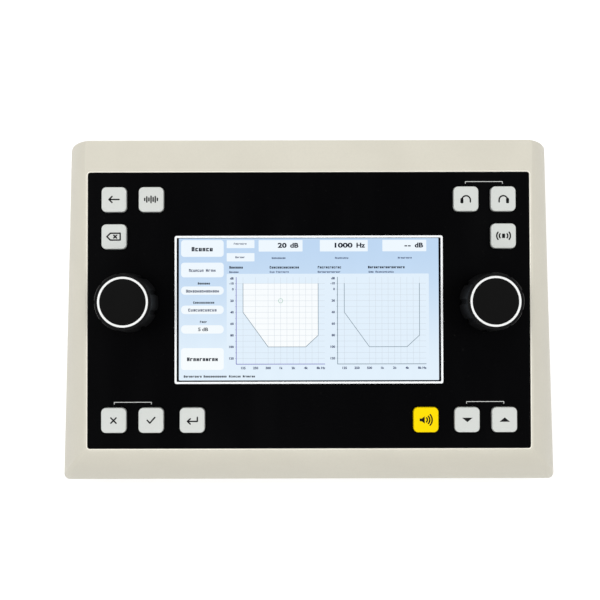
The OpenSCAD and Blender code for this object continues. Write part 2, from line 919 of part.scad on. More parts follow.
module phone_jacks() {
    body_w = 14;
    body_l = jack_depth - plate_t - 2;
    nose_out = 3.4;
    color(RUBBER)
    for (x = JACKS)
        difference() {
            union() {
                translate([x - body_w / 2, plate_y - body_l, main_top])
                cube([body_w, body_l, jack_lift + 6.6]);
                translate([x, plate_y - 1, jack_z])
                rotate([-90, 0, 0])
                cylinder(r = nose_r, h = plate_t + nose_out + 1, $fn = 64);
            }
            translate([x, plate_y + plate_t + nose_out - jack_depth, jack_z])
            rotate([-90, 0, 0])
            cylinder(r = jack_r, h = jack_depth + 1, $fn = 64);
        }
}

module jack_nuts() {
    color(STEEL)
    for (x = JACKS)
        translate([x, plate_y + plate_t, jack_z])
        rotate([-90, 0, 0])
        difference() {
            cylinder(r = nose_r + 2.2, h = 2.4, $fn = 6);
            translate([0, 0, -1])
            cylinder(r = nose_r + run, h = 5, $fn = 64);
        }
}

module power_jack() {
    y1 = plate_y + plate_t + socket_out;
    color(BLACK)
    translate([power_x, 0, main_top + power_s / 2]) {
        difference() {
            translate([-power_s / 2, y1 - power_l, -power_s / 2])
            cube([power_s, power_l, power_s]);
            translate([0, y1 - 10, 0])
            rotate([-90, 0, 0])
            cylinder(r = power_bore_r, h = 12, $fn = 64);
        }
        translate([0, y1 - 10.5, 0])
        rotate([-90, 0, 0])
        cylinder(r = power_pin_r, h = 9.5, $fn = 32);
    }
}

module usb_socket() {
    y1 = plate_y + plate_t + socket_out;
    shell_t = 0.8;
    color(STEEL)
    translate([usb_x, 0, main_top + usb_h / 2])
    difference() {
        translate([-usb_w / 2, y1 - usb_l, -usb_h / 2])
        cube([usb_w, usb_l, usb_h]);
        difference() {
            translate([-usb_w / 2 + shell_t, y1 - 9, -usb_h / 2 + shell_t])
            cube([usb_w - 2 * shell_t, 10, usb_h - 2 * shell_t]);
            translate([-2.8, y1 - 10, -1.6])
            cube([5.6, 9, 3.2]);
        }
    }
}

module switch_housing() {
    inner_w = rocker_w - 5;
    inner_h = rocker_h - 5;
    color(BLACK)
    translate([rocker_x, plate_y + plate_t, bay_mid])
    difference() {
        union() {
            translate([-rocker_w / 2, 0, -rocker_h / 2])
            cube([rocker_w, 2, rocker_h]);
            translate([-rocker_w / 2 + 1, -housing_d, -rocker_h / 2 + 1])
            cube([rocker_w - 2, housing_d + 1, rocker_h - 2]);
        }
        translate([-inner_w / 2, -8, -inner_h / 2])
        cube([inner_w, 12, inner_h]);
    }
}

// The rocker turns about an upright axis. It is drawn with its inner end pressed.
module switch_rocker() {
    w = rocker_w - 6;
    h = rocker_h - 5.4;
    color(BLACK)
    translate([rocker_x, rocker_y - 2.6, bay_mid])
    rotate([0, 0, rocker_swing / 2])
    translate([0, 0, -h / 2])
    linear_extrude(h)
    polygon([
        [-w / 2, 2],
        [0, 1.2],
        [w / 2, 2],
        [w / 2 - 1, -1.6],
        [2, -5],
        [-2, -5],
        [-w / 2 + 1, -1.6]
    ]);
}

module rubber_feet() {
    color(RUBBER)
    for (sx = [-1, 1], sy = [-1, 1])
        translate([sx * foot_x, sy * foot_y, 0])
        cylinder(r = foot_r, h = foot_h + foot_sunk, $fn = 64);
}

// A screw with its head below z = 0 and its shank above
module screw(length) {
    translate([0, 0, -head_h])
    difference() {
        cylinder(r = head_r, h = head_h, $fn = 32);
        translate([0, 0, -1])
        cylinder(r = 1.2, h = 1 + head_h / 2, $fn = 6);
    }
    translate([0, 0, -0.1])
    cylinder(r = screw_r, h = length + 0.1, $fn = 32);
}

module case_screws() {
    color(STEEL)
    for (p = POSTS)
        translate([p[0], p[1], screw_seat])
        screw(screw_tip - screw_seat);
}

// The main board's screws point down; the key board's point up into the standoffs
module board_screws() {
    color(STEEL) {
        for (p = BOSSES)
            translate([p[0], p[1], main_top])
            mirror([0, 0, 1])
            screw(board_t + board_lift - 0.5);
        on_deck()
        for (s = STANDOFFS)
            translate([s[0], s[1], board_back - s[2]])
            screw(board_t + s[2] + key_board_drop - 1.5);
    }
}

base_shell();
top_shell();
rear_panel();
faceplate();
window_frame();
display_gasket();
touch_glass();
lcd_panel();
lcd_frame();
display_brackets();
key_board();
key_switches();
panel_standoffs();
key_cap(0);  // key_back
key_cap(1);  // key_mask
key_cap(2);  // key_delete
key_cap(3);  // key_left
key_cap(4);  // key_right
key_cap(5);  // key_bone
key_cap(6);  // key_no
key_cap(7);  // key_yes
key_cap(8);  // key_enter
key_cap(9, YELLOW);  // key_signal
key_cap(10);  // key_down
key_cap(11);  // key_up
plunger(0);  // plunger_back
plunger(1);  // plunger_mask
plunger(2);  // plunger_delete
plunger(3);  // plunger_left
plunger(4);  // plunger_right
plunger(5);  // plunger_bone
plunger(6);  // plunger_no
plunger(7);  // plunger_yes
plunger(8);  // plunger_enter
plunger(9);  // plunger_signal
plunger(10);  // plunger_down
plunger(11);  // plunger_up
encoder_bodies();
encoder_nuts();
dial_shaft(-1);  // dial_shaft_left
dial_shaft(1);  // dial_shaft_right
dial(-1);  // dial_left
dial(1);  // dial_right
dial_cap(-1);  // dial_cap_left
dial_cap(1);  // dial_cap_right
dial_ring(-1);  // dial_ring_left
dial_ring(1);  // dial_ring_right
main_board();
board_components();
display_ribbon();
key_ribbon();
phone_jacks();
jack_nuts();
power_jack();
usb_socket();
switch_housing();
switch_rocker();
rubber_feet();
case_screws();
board_screws();
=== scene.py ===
"""Looks of a desk audiometer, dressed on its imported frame.

A sloping beige console holds a black front panel with a lit display, twelve
square keys and two lobed dials. Its connectors sit in a bay at the back.

Every piece is shaped in millimetres, as it would be on a bench, and then put
in its place on the frame, which is in metres.
"""

import json
import logging
import math
from collections.abc import Callable, Iterable, Iterator, Sequence
from contextlib import contextmanager
from dataclasses import dataclass, field
from enum import Enum
from functools import cache

import bmesh
import bpy
from mathutils import Matrix, Vector

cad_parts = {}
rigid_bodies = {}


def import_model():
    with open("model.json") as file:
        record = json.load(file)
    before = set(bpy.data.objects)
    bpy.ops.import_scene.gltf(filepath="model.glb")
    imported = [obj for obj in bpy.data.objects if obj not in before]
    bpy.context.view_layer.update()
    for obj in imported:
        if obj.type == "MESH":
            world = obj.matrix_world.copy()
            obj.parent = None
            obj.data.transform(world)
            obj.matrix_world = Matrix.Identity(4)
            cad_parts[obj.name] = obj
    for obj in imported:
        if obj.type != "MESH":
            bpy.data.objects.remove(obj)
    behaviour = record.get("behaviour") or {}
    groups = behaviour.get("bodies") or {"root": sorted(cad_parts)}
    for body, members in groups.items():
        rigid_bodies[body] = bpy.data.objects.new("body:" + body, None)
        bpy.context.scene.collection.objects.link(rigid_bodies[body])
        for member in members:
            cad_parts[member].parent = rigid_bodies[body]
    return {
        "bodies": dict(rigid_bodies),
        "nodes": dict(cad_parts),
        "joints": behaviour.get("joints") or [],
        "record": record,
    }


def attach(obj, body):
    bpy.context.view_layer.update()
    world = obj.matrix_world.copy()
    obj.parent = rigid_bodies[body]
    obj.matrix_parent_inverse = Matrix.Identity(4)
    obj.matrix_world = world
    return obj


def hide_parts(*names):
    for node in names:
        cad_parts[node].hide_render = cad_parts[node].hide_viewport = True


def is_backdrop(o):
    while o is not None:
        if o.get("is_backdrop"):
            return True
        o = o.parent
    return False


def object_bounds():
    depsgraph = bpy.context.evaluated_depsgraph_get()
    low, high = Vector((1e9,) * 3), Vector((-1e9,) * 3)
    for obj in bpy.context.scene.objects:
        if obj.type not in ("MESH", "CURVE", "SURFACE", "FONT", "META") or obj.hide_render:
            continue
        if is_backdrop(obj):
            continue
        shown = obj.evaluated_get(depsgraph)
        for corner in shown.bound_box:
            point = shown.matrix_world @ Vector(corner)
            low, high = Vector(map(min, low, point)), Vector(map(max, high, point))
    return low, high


LOG = logging.getLogger("audiometer")
MM = 0.001
CONSOLE = "console"
TRACED_GAP = 0.002
TRACED_ANGLE = 0.6
NEAR = 0.02

Piece = bpy.types.Object
Point = tuple[float, float, float]
Spot = tuple[float, float]
Tint = tuple[int, int, int]


# ---------------------------------------------------------------- the bench

class Element(Enum):
    """What a selection in edit mode is made of, and where its mesh keeps it."""

    VERT = "verts"
    EDGE = "edges"
    FACE = "faces"


class Join(Enum):
    """How one solid is worked into another."""

    CUT = "DIFFERENCE"
    WELD = "UNION"
    COMMON = "INTERSECT"


def settle() -> None:
    """Leaves edit mode and lets go of everything."""
    if bpy.context.object and bpy.context.object.mode != "OBJECT":
        bpy.ops.object.mode_set(mode="OBJECT")
    bpy.ops.object.select_all(action="DESELECT")


def hold(*things: Piece) -> None:
    """Selects these pieces alone, the first of them active.

    Args:
        things: The pieces to work on.
    """
    settle()
    for thing in things:
        thing.select_set(True)
    bpy.context.view_layer.objects.active = things[0]


@contextmanager
def editing(thing: Piece) -> Iterator[None]:
    """Opens a piece in edit mode with nothing selected.

    Args:
        thing: The piece to shape.
    """
    hold(thing)
    bpy.ops.object.mode_set(mode="EDIT")
    bpy.ops.mesh.select_all(action="DESELECT")
    yield
    bpy.ops.object.mode_set(mode="OBJECT")


def pick(thing: Piece, element: Element, test: Callable) -> None:
    """Selects, in edit mode, what passes a test.

    Args:
        thing: The piece that is open in edit mode.
        element: Whether vertices, edges or faces are tested.
        test: Takes one of them and says whether it is selected.
    """
    bpy.ops.mesh.select_mode(type=element.name)
    bpy.ops.mesh.select_all(action="DESELECT")
    mesh = bmesh.from_edit_mesh(thing.data)
    for item in getattr(mesh, element.value):
        if test(item):
            item.select_set(True)
    mesh.select_flush_mode()
    bmesh.update_edit_mesh(thing.data)


def named(name: str) -> Piece:
    """Names the primitive just added and fixes its place and size in its mesh.

    Args:
        name: The piece's name.

    Returns:
        The piece.
    """
    thing = bpy.context.object
    thing.name = thing.data.name = name
    bpy.ops.object.transform_apply(location=True, rotation=True, scale=True)
    return thing


def block(name: str, size: Sequence[float], centre: Sequence[float] = (0, 0, 0)) -> Piece:
    """Adds a block.

    Args:
        name: The piece's name.
        size: Its width, depth and height.
        centre: Its middle.

    Returns:
        The block.
    """
    settle()
    bpy.ops.mesh.primitive_cube_add(size=1, location=centre)
    bpy.context.object.scale = size
    return named(name)


def rounded_block(
    name: str, size: Sequence[float], centre: Sequence[float] = (0, 0, 0),
    radius: float = 1, segments: int = 8,
) -> Piece:
    """Adds a block whose four upright edges are rounded.

    Args:
        name: The piece's name.
        size: Its width, depth and height.
        centre: Its middle.
        radius: The radius of its upright edges.
        segments: The steps of each rounding.

    Returns:
        The block.
    """
    thing = block(name, size, centre)
    with editing(thing):
        pick(thing, Element.EDGE, lambda e: abs((e.verts[0].co - e.verts[1].co).z) > size[2] / 2)
        bpy.ops.mesh.bevel(offset=radius, segments=segments, affect="EDGES", profile=0.5)
    return thing


def slab(
    name: str, size: Spot, top: float, thickness: float, radius: float,
    centre: Spot = (0, 0), segments: int = 8,
) -> Piece:
    """Adds a rounded plate that hangs down from a level.

    Args:
        name: The piece's name.
        size: Its width and length.
        top: The level of its upper face.
        thickness: How thick it is.
        radius: The radius of its corners.
        centre: The middle of its plan.
        segments: The steps of each corner.

    Returns:
        The plate.
    """
    middle_z = top - thickness / 2
    return rounded_block(name, (*size, thickness), (*centre, middle_z), radius, segments)


def drum(
    name: str, radius: float, height: float, foot: Sequence[float] = (0, 0, 0), sides: int = 64,
) -> Piece:
    """Adds an upright cylinder.

    Args:
        name: The piece's name.
        radius: Its radius.
        height: Its height.
        foot: The middle of its lower face.
        sides: The number of its sides.

    Returns:
        The cylinder.
    """
    settle()
    place = (foot[0], foot[1], foot[2] + height / 2)
    bpy.ops.mesh.primitive_cylinder_add(vertices=sides, radius=radius, depth=height, location=place)
    return named(name)


def turned(name: str, profile: Sequence[Spot], sides: int = 96) -> Piece:
    """Turns a solid about the z axis: a disc is extruded ring by ring.

    Args:
        name: The piece's name.
        profile: Each ring's radius and height, from the first closed face to the last.
        sides: The number of its sides.

    Returns:
        The turned piece, closed at both ends.
    """
    settle()
    radius, height = profile[0]
    place = (0, 0, height)
    bpy.ops.mesh.primitive_circle_add(vertices=sides, radius=radius, fill_type="NGON", location=place)
    thing = named(name)
    with editing(thing):
        bpy.ops.mesh.select_all(action="SELECT")
        bpy.ops.mesh.select_mode(type="FACE")
        for ring, after in zip(profile, profile[1:]):
            bpy.ops.mesh.extrude_region_move(TRANSFORM_OT_translate={"value": (0, 0, after[1] - ring[1])})
            share = after[0] / ring[0]
            bpy.ops.transform.resize(value=(share, share, 1), center_override=(0, 0, after[1]))
        face_outwards()
    return thing


def face_outwards() -> None:
    """Turns all faces of the piece in edit mode outwards."""
    bpy.ops.mesh.select_all(action="SELECT")
    bpy.ops.mesh.normals_make_consistent(inside=False)


def discard(*things: Piece) -> None:
    """Throws pieces away, with their meshes.

    Args:
        things: The pieces.
    """
    for thing in things:
        data = thing.data
        bpy.data.objects.remove(thing, do_unlink=True)
        if isinstance(data, bpy.types.Mesh):
            bpy.data.meshes.remove(data)


def modify(thing: Piece, kind: str, **settings: object) -> None:
    """Adds a modifier and applies it.

    Args:
        thing: The piece to change.
        kind: The modifier's type.
        settings: The modifier's properties.
    """
    hold(thing)
    modifier = thing.modifiers.new(kind.lower(), kind)
    for key, value in settings.items():
        setattr(modifier, key, value)
    bpy.ops.object.modifier_apply(modifier=modifier.name)


def work(thing: Piece, join: Join, *tools: Piece) -> Piece:
    """Works other solids into a piece and throws them away.

    Args:
        thing: The piece to change.
        join: Whether they are cut out, welded on or kept in common.
        tools: The other solids.

    Returns:
        The changed piece.
    """
    for tool in tools:
        modify(thing, "BOOLEAN", operation=join.value, object=tool, solver="EXACT")
        discard(tool)
    return thing


def soften(thing: Piece, width: float, segments: int = 3, angle: float = 28) -> Piece:
    """Rounds a piece's sharp edges and shades it smooth.

    Args:
        thing: The piece to finish.
        width: The width of the rounding.
        segments: Its steps.
        angle: The least angle, in degrees, of an edge that counts as sharp.

    Returns:
        The same piece.
    """
    modify(
        thing, "BEVEL", width=width, segments=segments, limit_method="ANGLE",
        angle_limit=math.radians(angle), use_clamp_overlap=True,
    )
    return smoothed(thing)


def smoothed(thing: Piece, angle: float = 40) -> Piece:
    """Shades a piece smooth, apart from its sharp edges.

    Args:
        thing: The piece to finish.
        angle: The least angle, in degrees, of an edge that stays sharp.

    Returns:
        The same piece.
    """
    hold(thing)
    bpy.ops.object.shade_smooth_by_angle(angle=math.radians(angle))
    modify(thing, "WEIGHTED_NORMAL", weight=60, keep_sharp=True)
    return thing


def rounded(thing: Piece, width: float, test: Callable, segments: int = 3) -> Piece:
    """Rounds the edges that pass a test.

    Args:
        thing: The piece to change.
        width: The width of the rounding.
        test: Takes an edge and says whether it is rounded.
        segments: The steps of the rounding.

    Returns:
        The same piece.
    """
    with editing(thing):
        pick(thing, Element.EDGE, test)
        bpy.ops.mesh.bevel(offset=width, segments=segments, affect="EDGES", profile=0.5, clamp_overlap=True)
    return thing


def cleaned(thing: Piece, gap: float = 0.004, angle: float = 0.4) -> Piece:
    """Merges what a cut left too close together and makes flat faces whole.

    Args:
        thing: The piece to clean.
        gap: The greatest distance that is closed.
        angle: The greatest angle, in degrees, that counts as flat.

    Returns:
        The same piece.
    """
    with editing(thing):
        bpy.ops.mesh.select_all(action="SELECT")
        bpy.ops.mesh.remove_doubles(threshold=gap)
        bpy.ops.mesh.dissolve_degenerate(threshold=gap)
        bpy.ops.mesh.select_all(action="SELECT")
        bpy.ops.mesh.dissolve_limited(angle_limit=math.radians(angle))
    return thing


def refinished(thing: Piece, slot: int, test: Callable) -> Piece:
    """Gives the faces that pass a test another of a piece's finishes.

    Args:
        thing: The piece, already dressed.
        slot: The number of the finish.
        test: Takes a face and says whether it changes.

    Returns:
        The same piece.
    """
    with editing(thing):
        pick(thing, Element.FACE, test)
        thing.active_material_index = slot
        bpy.ops.object.material_slot_assign()
    return thing


def united(name: str, *things: Piece) -> Piece:
    """Joins pieces into one object, each keeping its finish.

    Args:
        name: The joined piece's name.
        things: The pieces to join.

    Returns:
        The joined piece.
    """
    hold(*things)
    if len(things) > 1:
        bpy.ops.object.join()
    things[0].name = things[0].data.name = name
    return things[0]


def another(thing: Piece, name: str, shift: Point = (0, 0, 0), stretch: Point = (1, 1, 1)) -> Piece:
    """Copies a piece with a mesh of its own.

    Args:
        thing: The piece to copy.
        name: The copy's name.
        shift: How far the copy is moved.
        stretch: What each of its sides is multiplied by.

    Returns:
        The copy.
    """
    hold(thing)
    bpy.ops.object.duplicate(linked=False)
    copy = bpy.context.object
    copy.location = shift
    copy.scale = stretch
    return named(name)


def copied(thing: Piece, name: str, places: Iterable[Point]) -> Piece:
    """Copies a piece to several places, as one mesh, and throws it away.

    Args:
        thing: The piece to copy.
        name: The name of the copies together.
        places: How far each copy is moved.

    Returns:
        The copies.
    """
    copies = [another(thing, "copy", place) for place in places]
    discard(thing)
    return united(name, *copies)


def repeat(thing: Piece, count: int, step: Point) -> Piece:
    """Repeats a piece in a row, as one mesh.

    Args:
        thing: The piece to repeat.
        count: How many there are in the end.
        step: The way from one to the next.

    Returns:
        The same piece.
    """
    modify(
        thing, "ARRAY", count=count, use_relative_offset=False,
        use_constant_offset=True, constant_offset_displace=step,
    )
    return thing


def moved(thing: Piece, matrix: Matrix) -> Piece:
    """Moves a piece and fixes its place in its mesh.

    Args:
        thing: The piece.
        matrix: Where its axes go.

    Returns:
        The same piece.
    """
    hold(thing)
    thing.matrix_world = matrix
    bpy.ops.object.transform_apply(location=True, rotation=True, scale=True)
    return thing


def stroke(name: str, start: Spot, end: Spot, width: float, thickness: float, level: float = 0) -> Piece:
    """Lays a straight printed line with round ends.

    Args:
        name: The line's name.
        start: The middle of its first end.
        end: The middle of its last end.
        width: Its width.
        thickness: The thickness of the ink.
        level: The level that it lies on.

    Returns:
        The line.
    """
    run, rise = end[0] - start[0], end[1] - start[1]
    size = (math.hypot(run, rise) + width, width, thickness)
    line = rounded_block(name, size, (0, 0, 0), width * 0.49, 4)
    centre = Matrix.Translation(((start[0] + end[0]) / 2, (start[1] + end[1]) / 2, level + thickness / 2))
    return moved(line, centre @ Matrix.Rotation(math.atan2(rise, run), 4, "Z"))


def outline(name: str, points: Sequence[Spot], width: float, thickness: float, level: float = 0) -> Piece:
    """Lays a printed line through several points.

    Args:
        name: The line's name.
        points: Its corners, in order.
        width: Its width.
        thickness: The thickness of the ink.
        level: The level that it lies on.

    Returns:
        The line, as one piece.
    """
    parts = [stroke(name, a, b, width, thickness, level) for a, b in zip(points, points[1:])]
    return united(name, *parts)


def arc(centre: Spot, radius: float, first: float, last: float, steps: int) -> list[Spot]:
    """Returns points along an arc.

    Args:
        centre: The arc's centre.
        radius: Its radius.
        first: Its first angle, in degrees from +x.
        last: Its last angle.
        steps: The number of its straight pieces.

    Returns:
        One more point than there are steps.
    """
    turns = [math.radians(first + (last - first) * i / steps) for i in range(steps + 1)]
    return [(centre[0] + radius * math.cos(t), centre[1] + radius * math.sin(t)) for t in turns]


def filled(name: str, points: Sequence[Spot], thickness: float, level: float = 0) -> Piece:
    """Lays a flat shape with straight sides.

    Args:
        name: The shape's name.
        points: Its corners, counter-clockwise.
        thickness: How thick it is.
        level: The level that it lies on.

    Returns:
        The shape.
    """
    settle()
    bpy.ops.mesh.primitive_circle_add(vertices=len(points), radius=1, fill_type="NGON")
    thing = named(name)
    for vertex, point in zip(thing.data.vertices, points):
        vertex.co = (*point, level)
    with editing(thing):
        bpy.ops.mesh.select_all(action="SELECT")
        bpy.ops.mesh.extrude_region_move(TRANSFORM_OT_translate={"value": (0, 0, thickness)})
        face_outwards()
    return thing


def figures(
    name: str, text: str, height: float, centre: Spot, level: float, weight: float = 0, align: str = "CENTER",
    spread: float = 1,
) -> Piece:
    """Prints numbers or units.

    Args:
        name: The piece's name.
        text: The figures.
        height: The height of a figure.
        centre: Their middle, or their end where they are aligned to one.
        level: The level that they lie on.
        weight: How much bolder than plain they are.
        align: Their place on the line.
        spread: How much wider than plain they are.

    Returns:
        The figures, as a closed mesh.
    """
    settle()
    bpy.ops.object.text_add()
    thing = bpy.context.object
    data = thing.data
    data.body = text
    data.size = height / 0.72
    data.align_x = align
    data.align_y = "CENTER"
    data.offset = weight
    data.extrude = 0.01
    data.resolution_u = 3
    bpy.ops.object.convert(target="MESH")
    wide = Matrix.Diagonal((spread, 1, 1, 1))
    thing = moved(bpy.context.object, Matrix.Translation((*centre, level + 0.01)) @ wide)
    thing.name = thing.data.name = name
    with editing(thing):
        bpy.ops.mesh.select_all(action="SELECT")
        bpy.ops.mesh.remove_doubles(threshold=0.0005)
        face_outwards()
    return thing


# ------------------------------------------------------------- the finishes

def linear(tint: Tint) -> tuple[float, float, float, float]:
    """Returns the linear colour of a tint that is given as it looks, 0 to 255.

    Args:
        tint: Red, green and blue.

    Returns:
        Linear red, green, blue and an alpha of 1.
    """
    shares = [channel / 255 for channel in tint]
    return (*(s / 12.92 if s <= 0.04045 else ((s + 0.055) / 1.055) ** 2.4 for s in shares), 1.0)


class Value:
    """A number that varies over a surface, used in plain arithmetic."""

    def __init__(self, graph: "Graph", socket: bpy.types.NodeSocket) -> None:
        """Wraps an output socket of a graph's node."""
        self.graph = graph
        self.socket = socket

    def joined(self, operation: str, *others: "float | Value") -> "Value":
        """Adds a Math node that starts with this value."""
        return self.graph.math(operation, self, *others)

    def __add__(self, other: "float | Value") -> "Value":
        """Adds."""
        return self.joined("ADD", other)

    __radd__ = __add__

    def __sub__(self, other: "float | Value") -> "Value":
        """Takes away."""
        return self.joined("SUBTRACT", other)

    def __rsub__(self, other: float) -> "Value":
        """Is taken away from a number."""
        return self.graph.math("SUBTRACT", other, self)

    def __mul__(self, other: "float | Value") -> "Value":
        """Multiplies."""
        return self.joined("MULTIPLY", other)

    __rmul__ = __mul__

    def __gt__(self, other: "float | Value") -> "Value":
        """Is 1 where this value is the greater, and else 0."""
        return self.joined("GREATER_THAN", other)

    def __lt__(self, other: "float | Value") -> "Value":
        """Is 1 where this value is the lesser, and else 0."""
        return self.joined("LESS_THAN", other)

    def between(self, low: float, high: float) -> "Value":
        """Rises smoothly from 0 to 1.

        Args:
            low: Where it is still 0.
            high: Where it has come to 1.

        Returns:
            The eased value.
        """
        node = self.graph.node(
            "ShaderNodeMapRange", {"interpolation_type": "SMOOTHSTEP"},
            {"Value": self, "From Min": low, "From Max": high},
        )
        return Value(self.graph, node.outputs["Result"])

    def wave(self, period: float) -> "Value":
        """Swings between 0 and 1 once in each period."""
        return self.graph.math("SINE", self * (2 * math.pi / period)) * 0.5 + 0.5


class Graph:
    """A material's nodes, from the surface's own millimetres to its shader."""

    def __init__(self, name: str) -> None:
        """Starts an empty material.

        Args:
            name: The material's name.
        """
        self.material = bpy.data.materials.new(name)
        self.material.use_nodes = True
        self.tree = self.material.node_tree
        self.tree.nodes.clear()

    def node(self, kind: str, settings: dict | None = None, sockets: dict | None = None) -> bpy.types.Node:
        """Adds a node.

        Args:
            kind: The node's type.
            settings: Its properties, which are set first.
            sockets: Values or links, by socket name, identifier or number.

        Returns:
            The node.
        """
        made = self.tree.nodes.new(kind)
        for key, value in (settings or {}).items():
            setattr(made, key, value)
        by_identifier = {socket.identifier: socket for socket in made.inputs}
        for key, value in (sockets or {}).items():
            socket = by_identifier[key] if key in by_identifier else made.inputs[key]
            if isinstance(value, Value):
                self.tree.links.new(value.socket, socket)
            elif isinstance(value, bpy.types.NodeSocket):
                self.tree.links.new(value, socket)
            else:
                socket.default_value = value
        return made

    def math(self, operation: str, *values: float | Value) -> Value:
        """Adds a Math node.

        Args:
            operation: What it works out.
            values: Its numbers, in order.

        Returns:
            Its result.
        """
        node = self.node("ShaderNodeMath", {"operation": operation}, dict(enumerate(values)))
        return Value(self, node.outputs[0])

    @property
    def place(self) -> bpy.types.NodeSocket:
        """The point on the surface, in the frame's axes, in millimetres.

        Returns:
            The socket that gives it.
        """
        point = self.node("ShaderNodeTexCoord").outputs["Object"]
        scaled = self.node("ShaderNodeVectorMath", {"operation": "SCALE"}, {0: point, "Scale": 1 / MM})
        return scaled.outputs["Vector"]

    def turned_place(
        self, turn: Sequence[float], stretch: Sequence[float] = (1, 1, 1),
    ) -> bpy.types.NodeSocket:
        """Returns the point in turned and stretched axes.

        Args:
            turn: Euler angles, in degrees.
            stretch: What each axis is multiplied by.

        Returns:
            The turned point.
        """
        sockets = {"Vector": self.place, "Rotation": [math.radians(a) for a in turn], "Scale": stretch}
        return self.node("ShaderNodeMapping", {"vector_type": "POINT"}, sockets).outputs["Vector"]

    def axis(self, place: bpy.types.NodeSocket, name: str) -> Value:
        """Returns one axis, "X", "Y" or "Z", of a point."""
        return Value(self, self.node("ShaderNodeSeparateXYZ", None, {"Vector": place}).outputs[name])

    def noise(self, size: float, detail: float = 2, place: bpy.types.NodeSocket | None = None) -> Value:
        """Adds noise.

        Args:
            size: The size of its grains, in millimetres.
            detail: How many finer layers it has.
            place: Where it is read, if not at the surface's own point.

        Returns:
            A value about 0.5.
        """
        sockets = {"Vector": place or self.place, "Scale": 1 / size, "Detail": detail}
        return Value(self, self.node("ShaderNodeTexNoise", None, sockets).outputs["Fac"])

    def cells(self, size: float) -> Value:
        """Adds pebbled cells.

        Args:
            size: The size of a cell, in millimetres.

        Returns:
            The distance from the cell's middle.
        """
        sockets = {"Vector": self.place, "Scale": 1 / size}
        return Value(self, self.node("ShaderNodeTexVoronoi", None, sockets).outputs["Distance"])

    def mix(self, share: float | Value, low: object, high: object) -> bpy.types.NodeSocket:
        """Mixes two colours.

        Args:
            share: How much of the second there is.
            low: The first colour, or its socket.
            high: The second colour, or its socket.

        Returns:
            The mixed colour.
        """
        node = self.node(
            "ShaderNodeMix", {"data_type": "RGBA"},
            {"Factor_Float": share, "A_Color": low, "B_Color": high},
        )
        return next(socket for socket in node.outputs if socket.identifier == "Result_Color")

    def relief(self, height: Value, depth: float) -> bpy.types.NodeSocket:
        """Raises the surface.

        Args:
            height: The relief, from 0 to 1.
            depth: How far 1 is above 0, in millimetres.

        Returns:
            The normal.
        """
        node = self.node("ShaderNodeBump", None, {"Strength": 1.0, "Distance": depth * MM, "Height": height})
        return node.outputs["Normal"]

    def surface(self, **sockets: object) -> bpy.types.Material:
        """Ends the graph in a Principled shader.

        Args:
            sockets: Its sockets, with _ for a space.

        Returns:
            The finished material.
        """
        shader = self.node(
            "ShaderNodeBsdfPrincipled", None, {key.replace("_", " "): value for key, value in sockets.items()}
        )
        self.node("ShaderNodeOutputMaterial", None, {"Surface": shader.outputs[0]})
        return self.material


def shaded(tint: Tint, share: float) -> Tint:
    """Returns a tint made lighter, or darker where the share is negative."""
    return tuple(min(255, max(0, round(channel * (1 + share)))) for channel in tint)


@dataclass(frozen=True)
class Moulded:
    """Moulded plastic: eroded grain, slow clouding and a satin face.

    Sizes are in millimetres.
    """

    name: str
    tint: Tint
    roughness: float = 0.5
    grain: float = 0.5
    depth: float = 0.012
    clouding: float = 0.012
    specular: float = 0.5
    coat: float = 0.0

    def material(self) -> bpy.types.Material:
        """Builds the material.

        Returns:
            The material.
        """
        graph = Graph(self.name)
        cloud = graph.noise(38, 3).between(0.3, 0.7)
        grain = graph.cells(self.grain) * 0.6 + graph.noise(self.grain * 0.6, 1) * 0.6
        speck = graph.noise(self.grain * 2.2, 2).between(0.35, 0.75)
        deep, light = (linear(shaded(self.tint, share)) for share in (-self.clouding, self.clouding))
        base = graph.mix(cloud, deep, light)
        tone = graph.mix(speck * 0.25, base, linear(shaded(self.tint, -4 * self.clouding)))
        return graph.surface(
            Base_Color=tone,
            Roughness=self.roughness - 0.05 + 0.1 * cloud + 0.06 * speck,
            Specular_IOR_Level=self.specular,
            Coat_Weight=self.coat,
            Coat_Roughness=0.25,
            Normal=graph.relief(grain, self.depth),
        )


@dataclass(frozen=True)
class Film:
    """Matt printed film over a stiff plate: fine emboss and faint wipe marks."""

    name: str
    tint: Tint
    roughness: float = 0.42
    emboss: float = 0.25
    depth: float = 0.006
    specular: float = 0.3
    dust_tint: Tint = (58, 57, 55)

    def material(self) -> bpy.types.Material:
        """Builds the material.

        Returns:
            The material.
        """
        graph = Graph(self.name)
        wipe = graph.noise(26, 4, graph.turned_place((0, 0, 24), (1, 0.22, 1))).between(0.35, 0.8)
        emboss = graph.cells(self.emboss)
        dust = graph.noise(1.6, 2) > 0.74
        tone = graph.mix(wipe, linear(self.tint), linear(shaded(self.tint, 0.35)))
        return graph.surface(
            Base_Color=graph.mix(dust * 0.12, tone, linear(self.dust_tint)),
            Roughness=self.roughness + 0.1 * wipe,
            Specular_IOR_Level=self.specular,
            Normal=graph.relief(emboss, self.depth),
        )


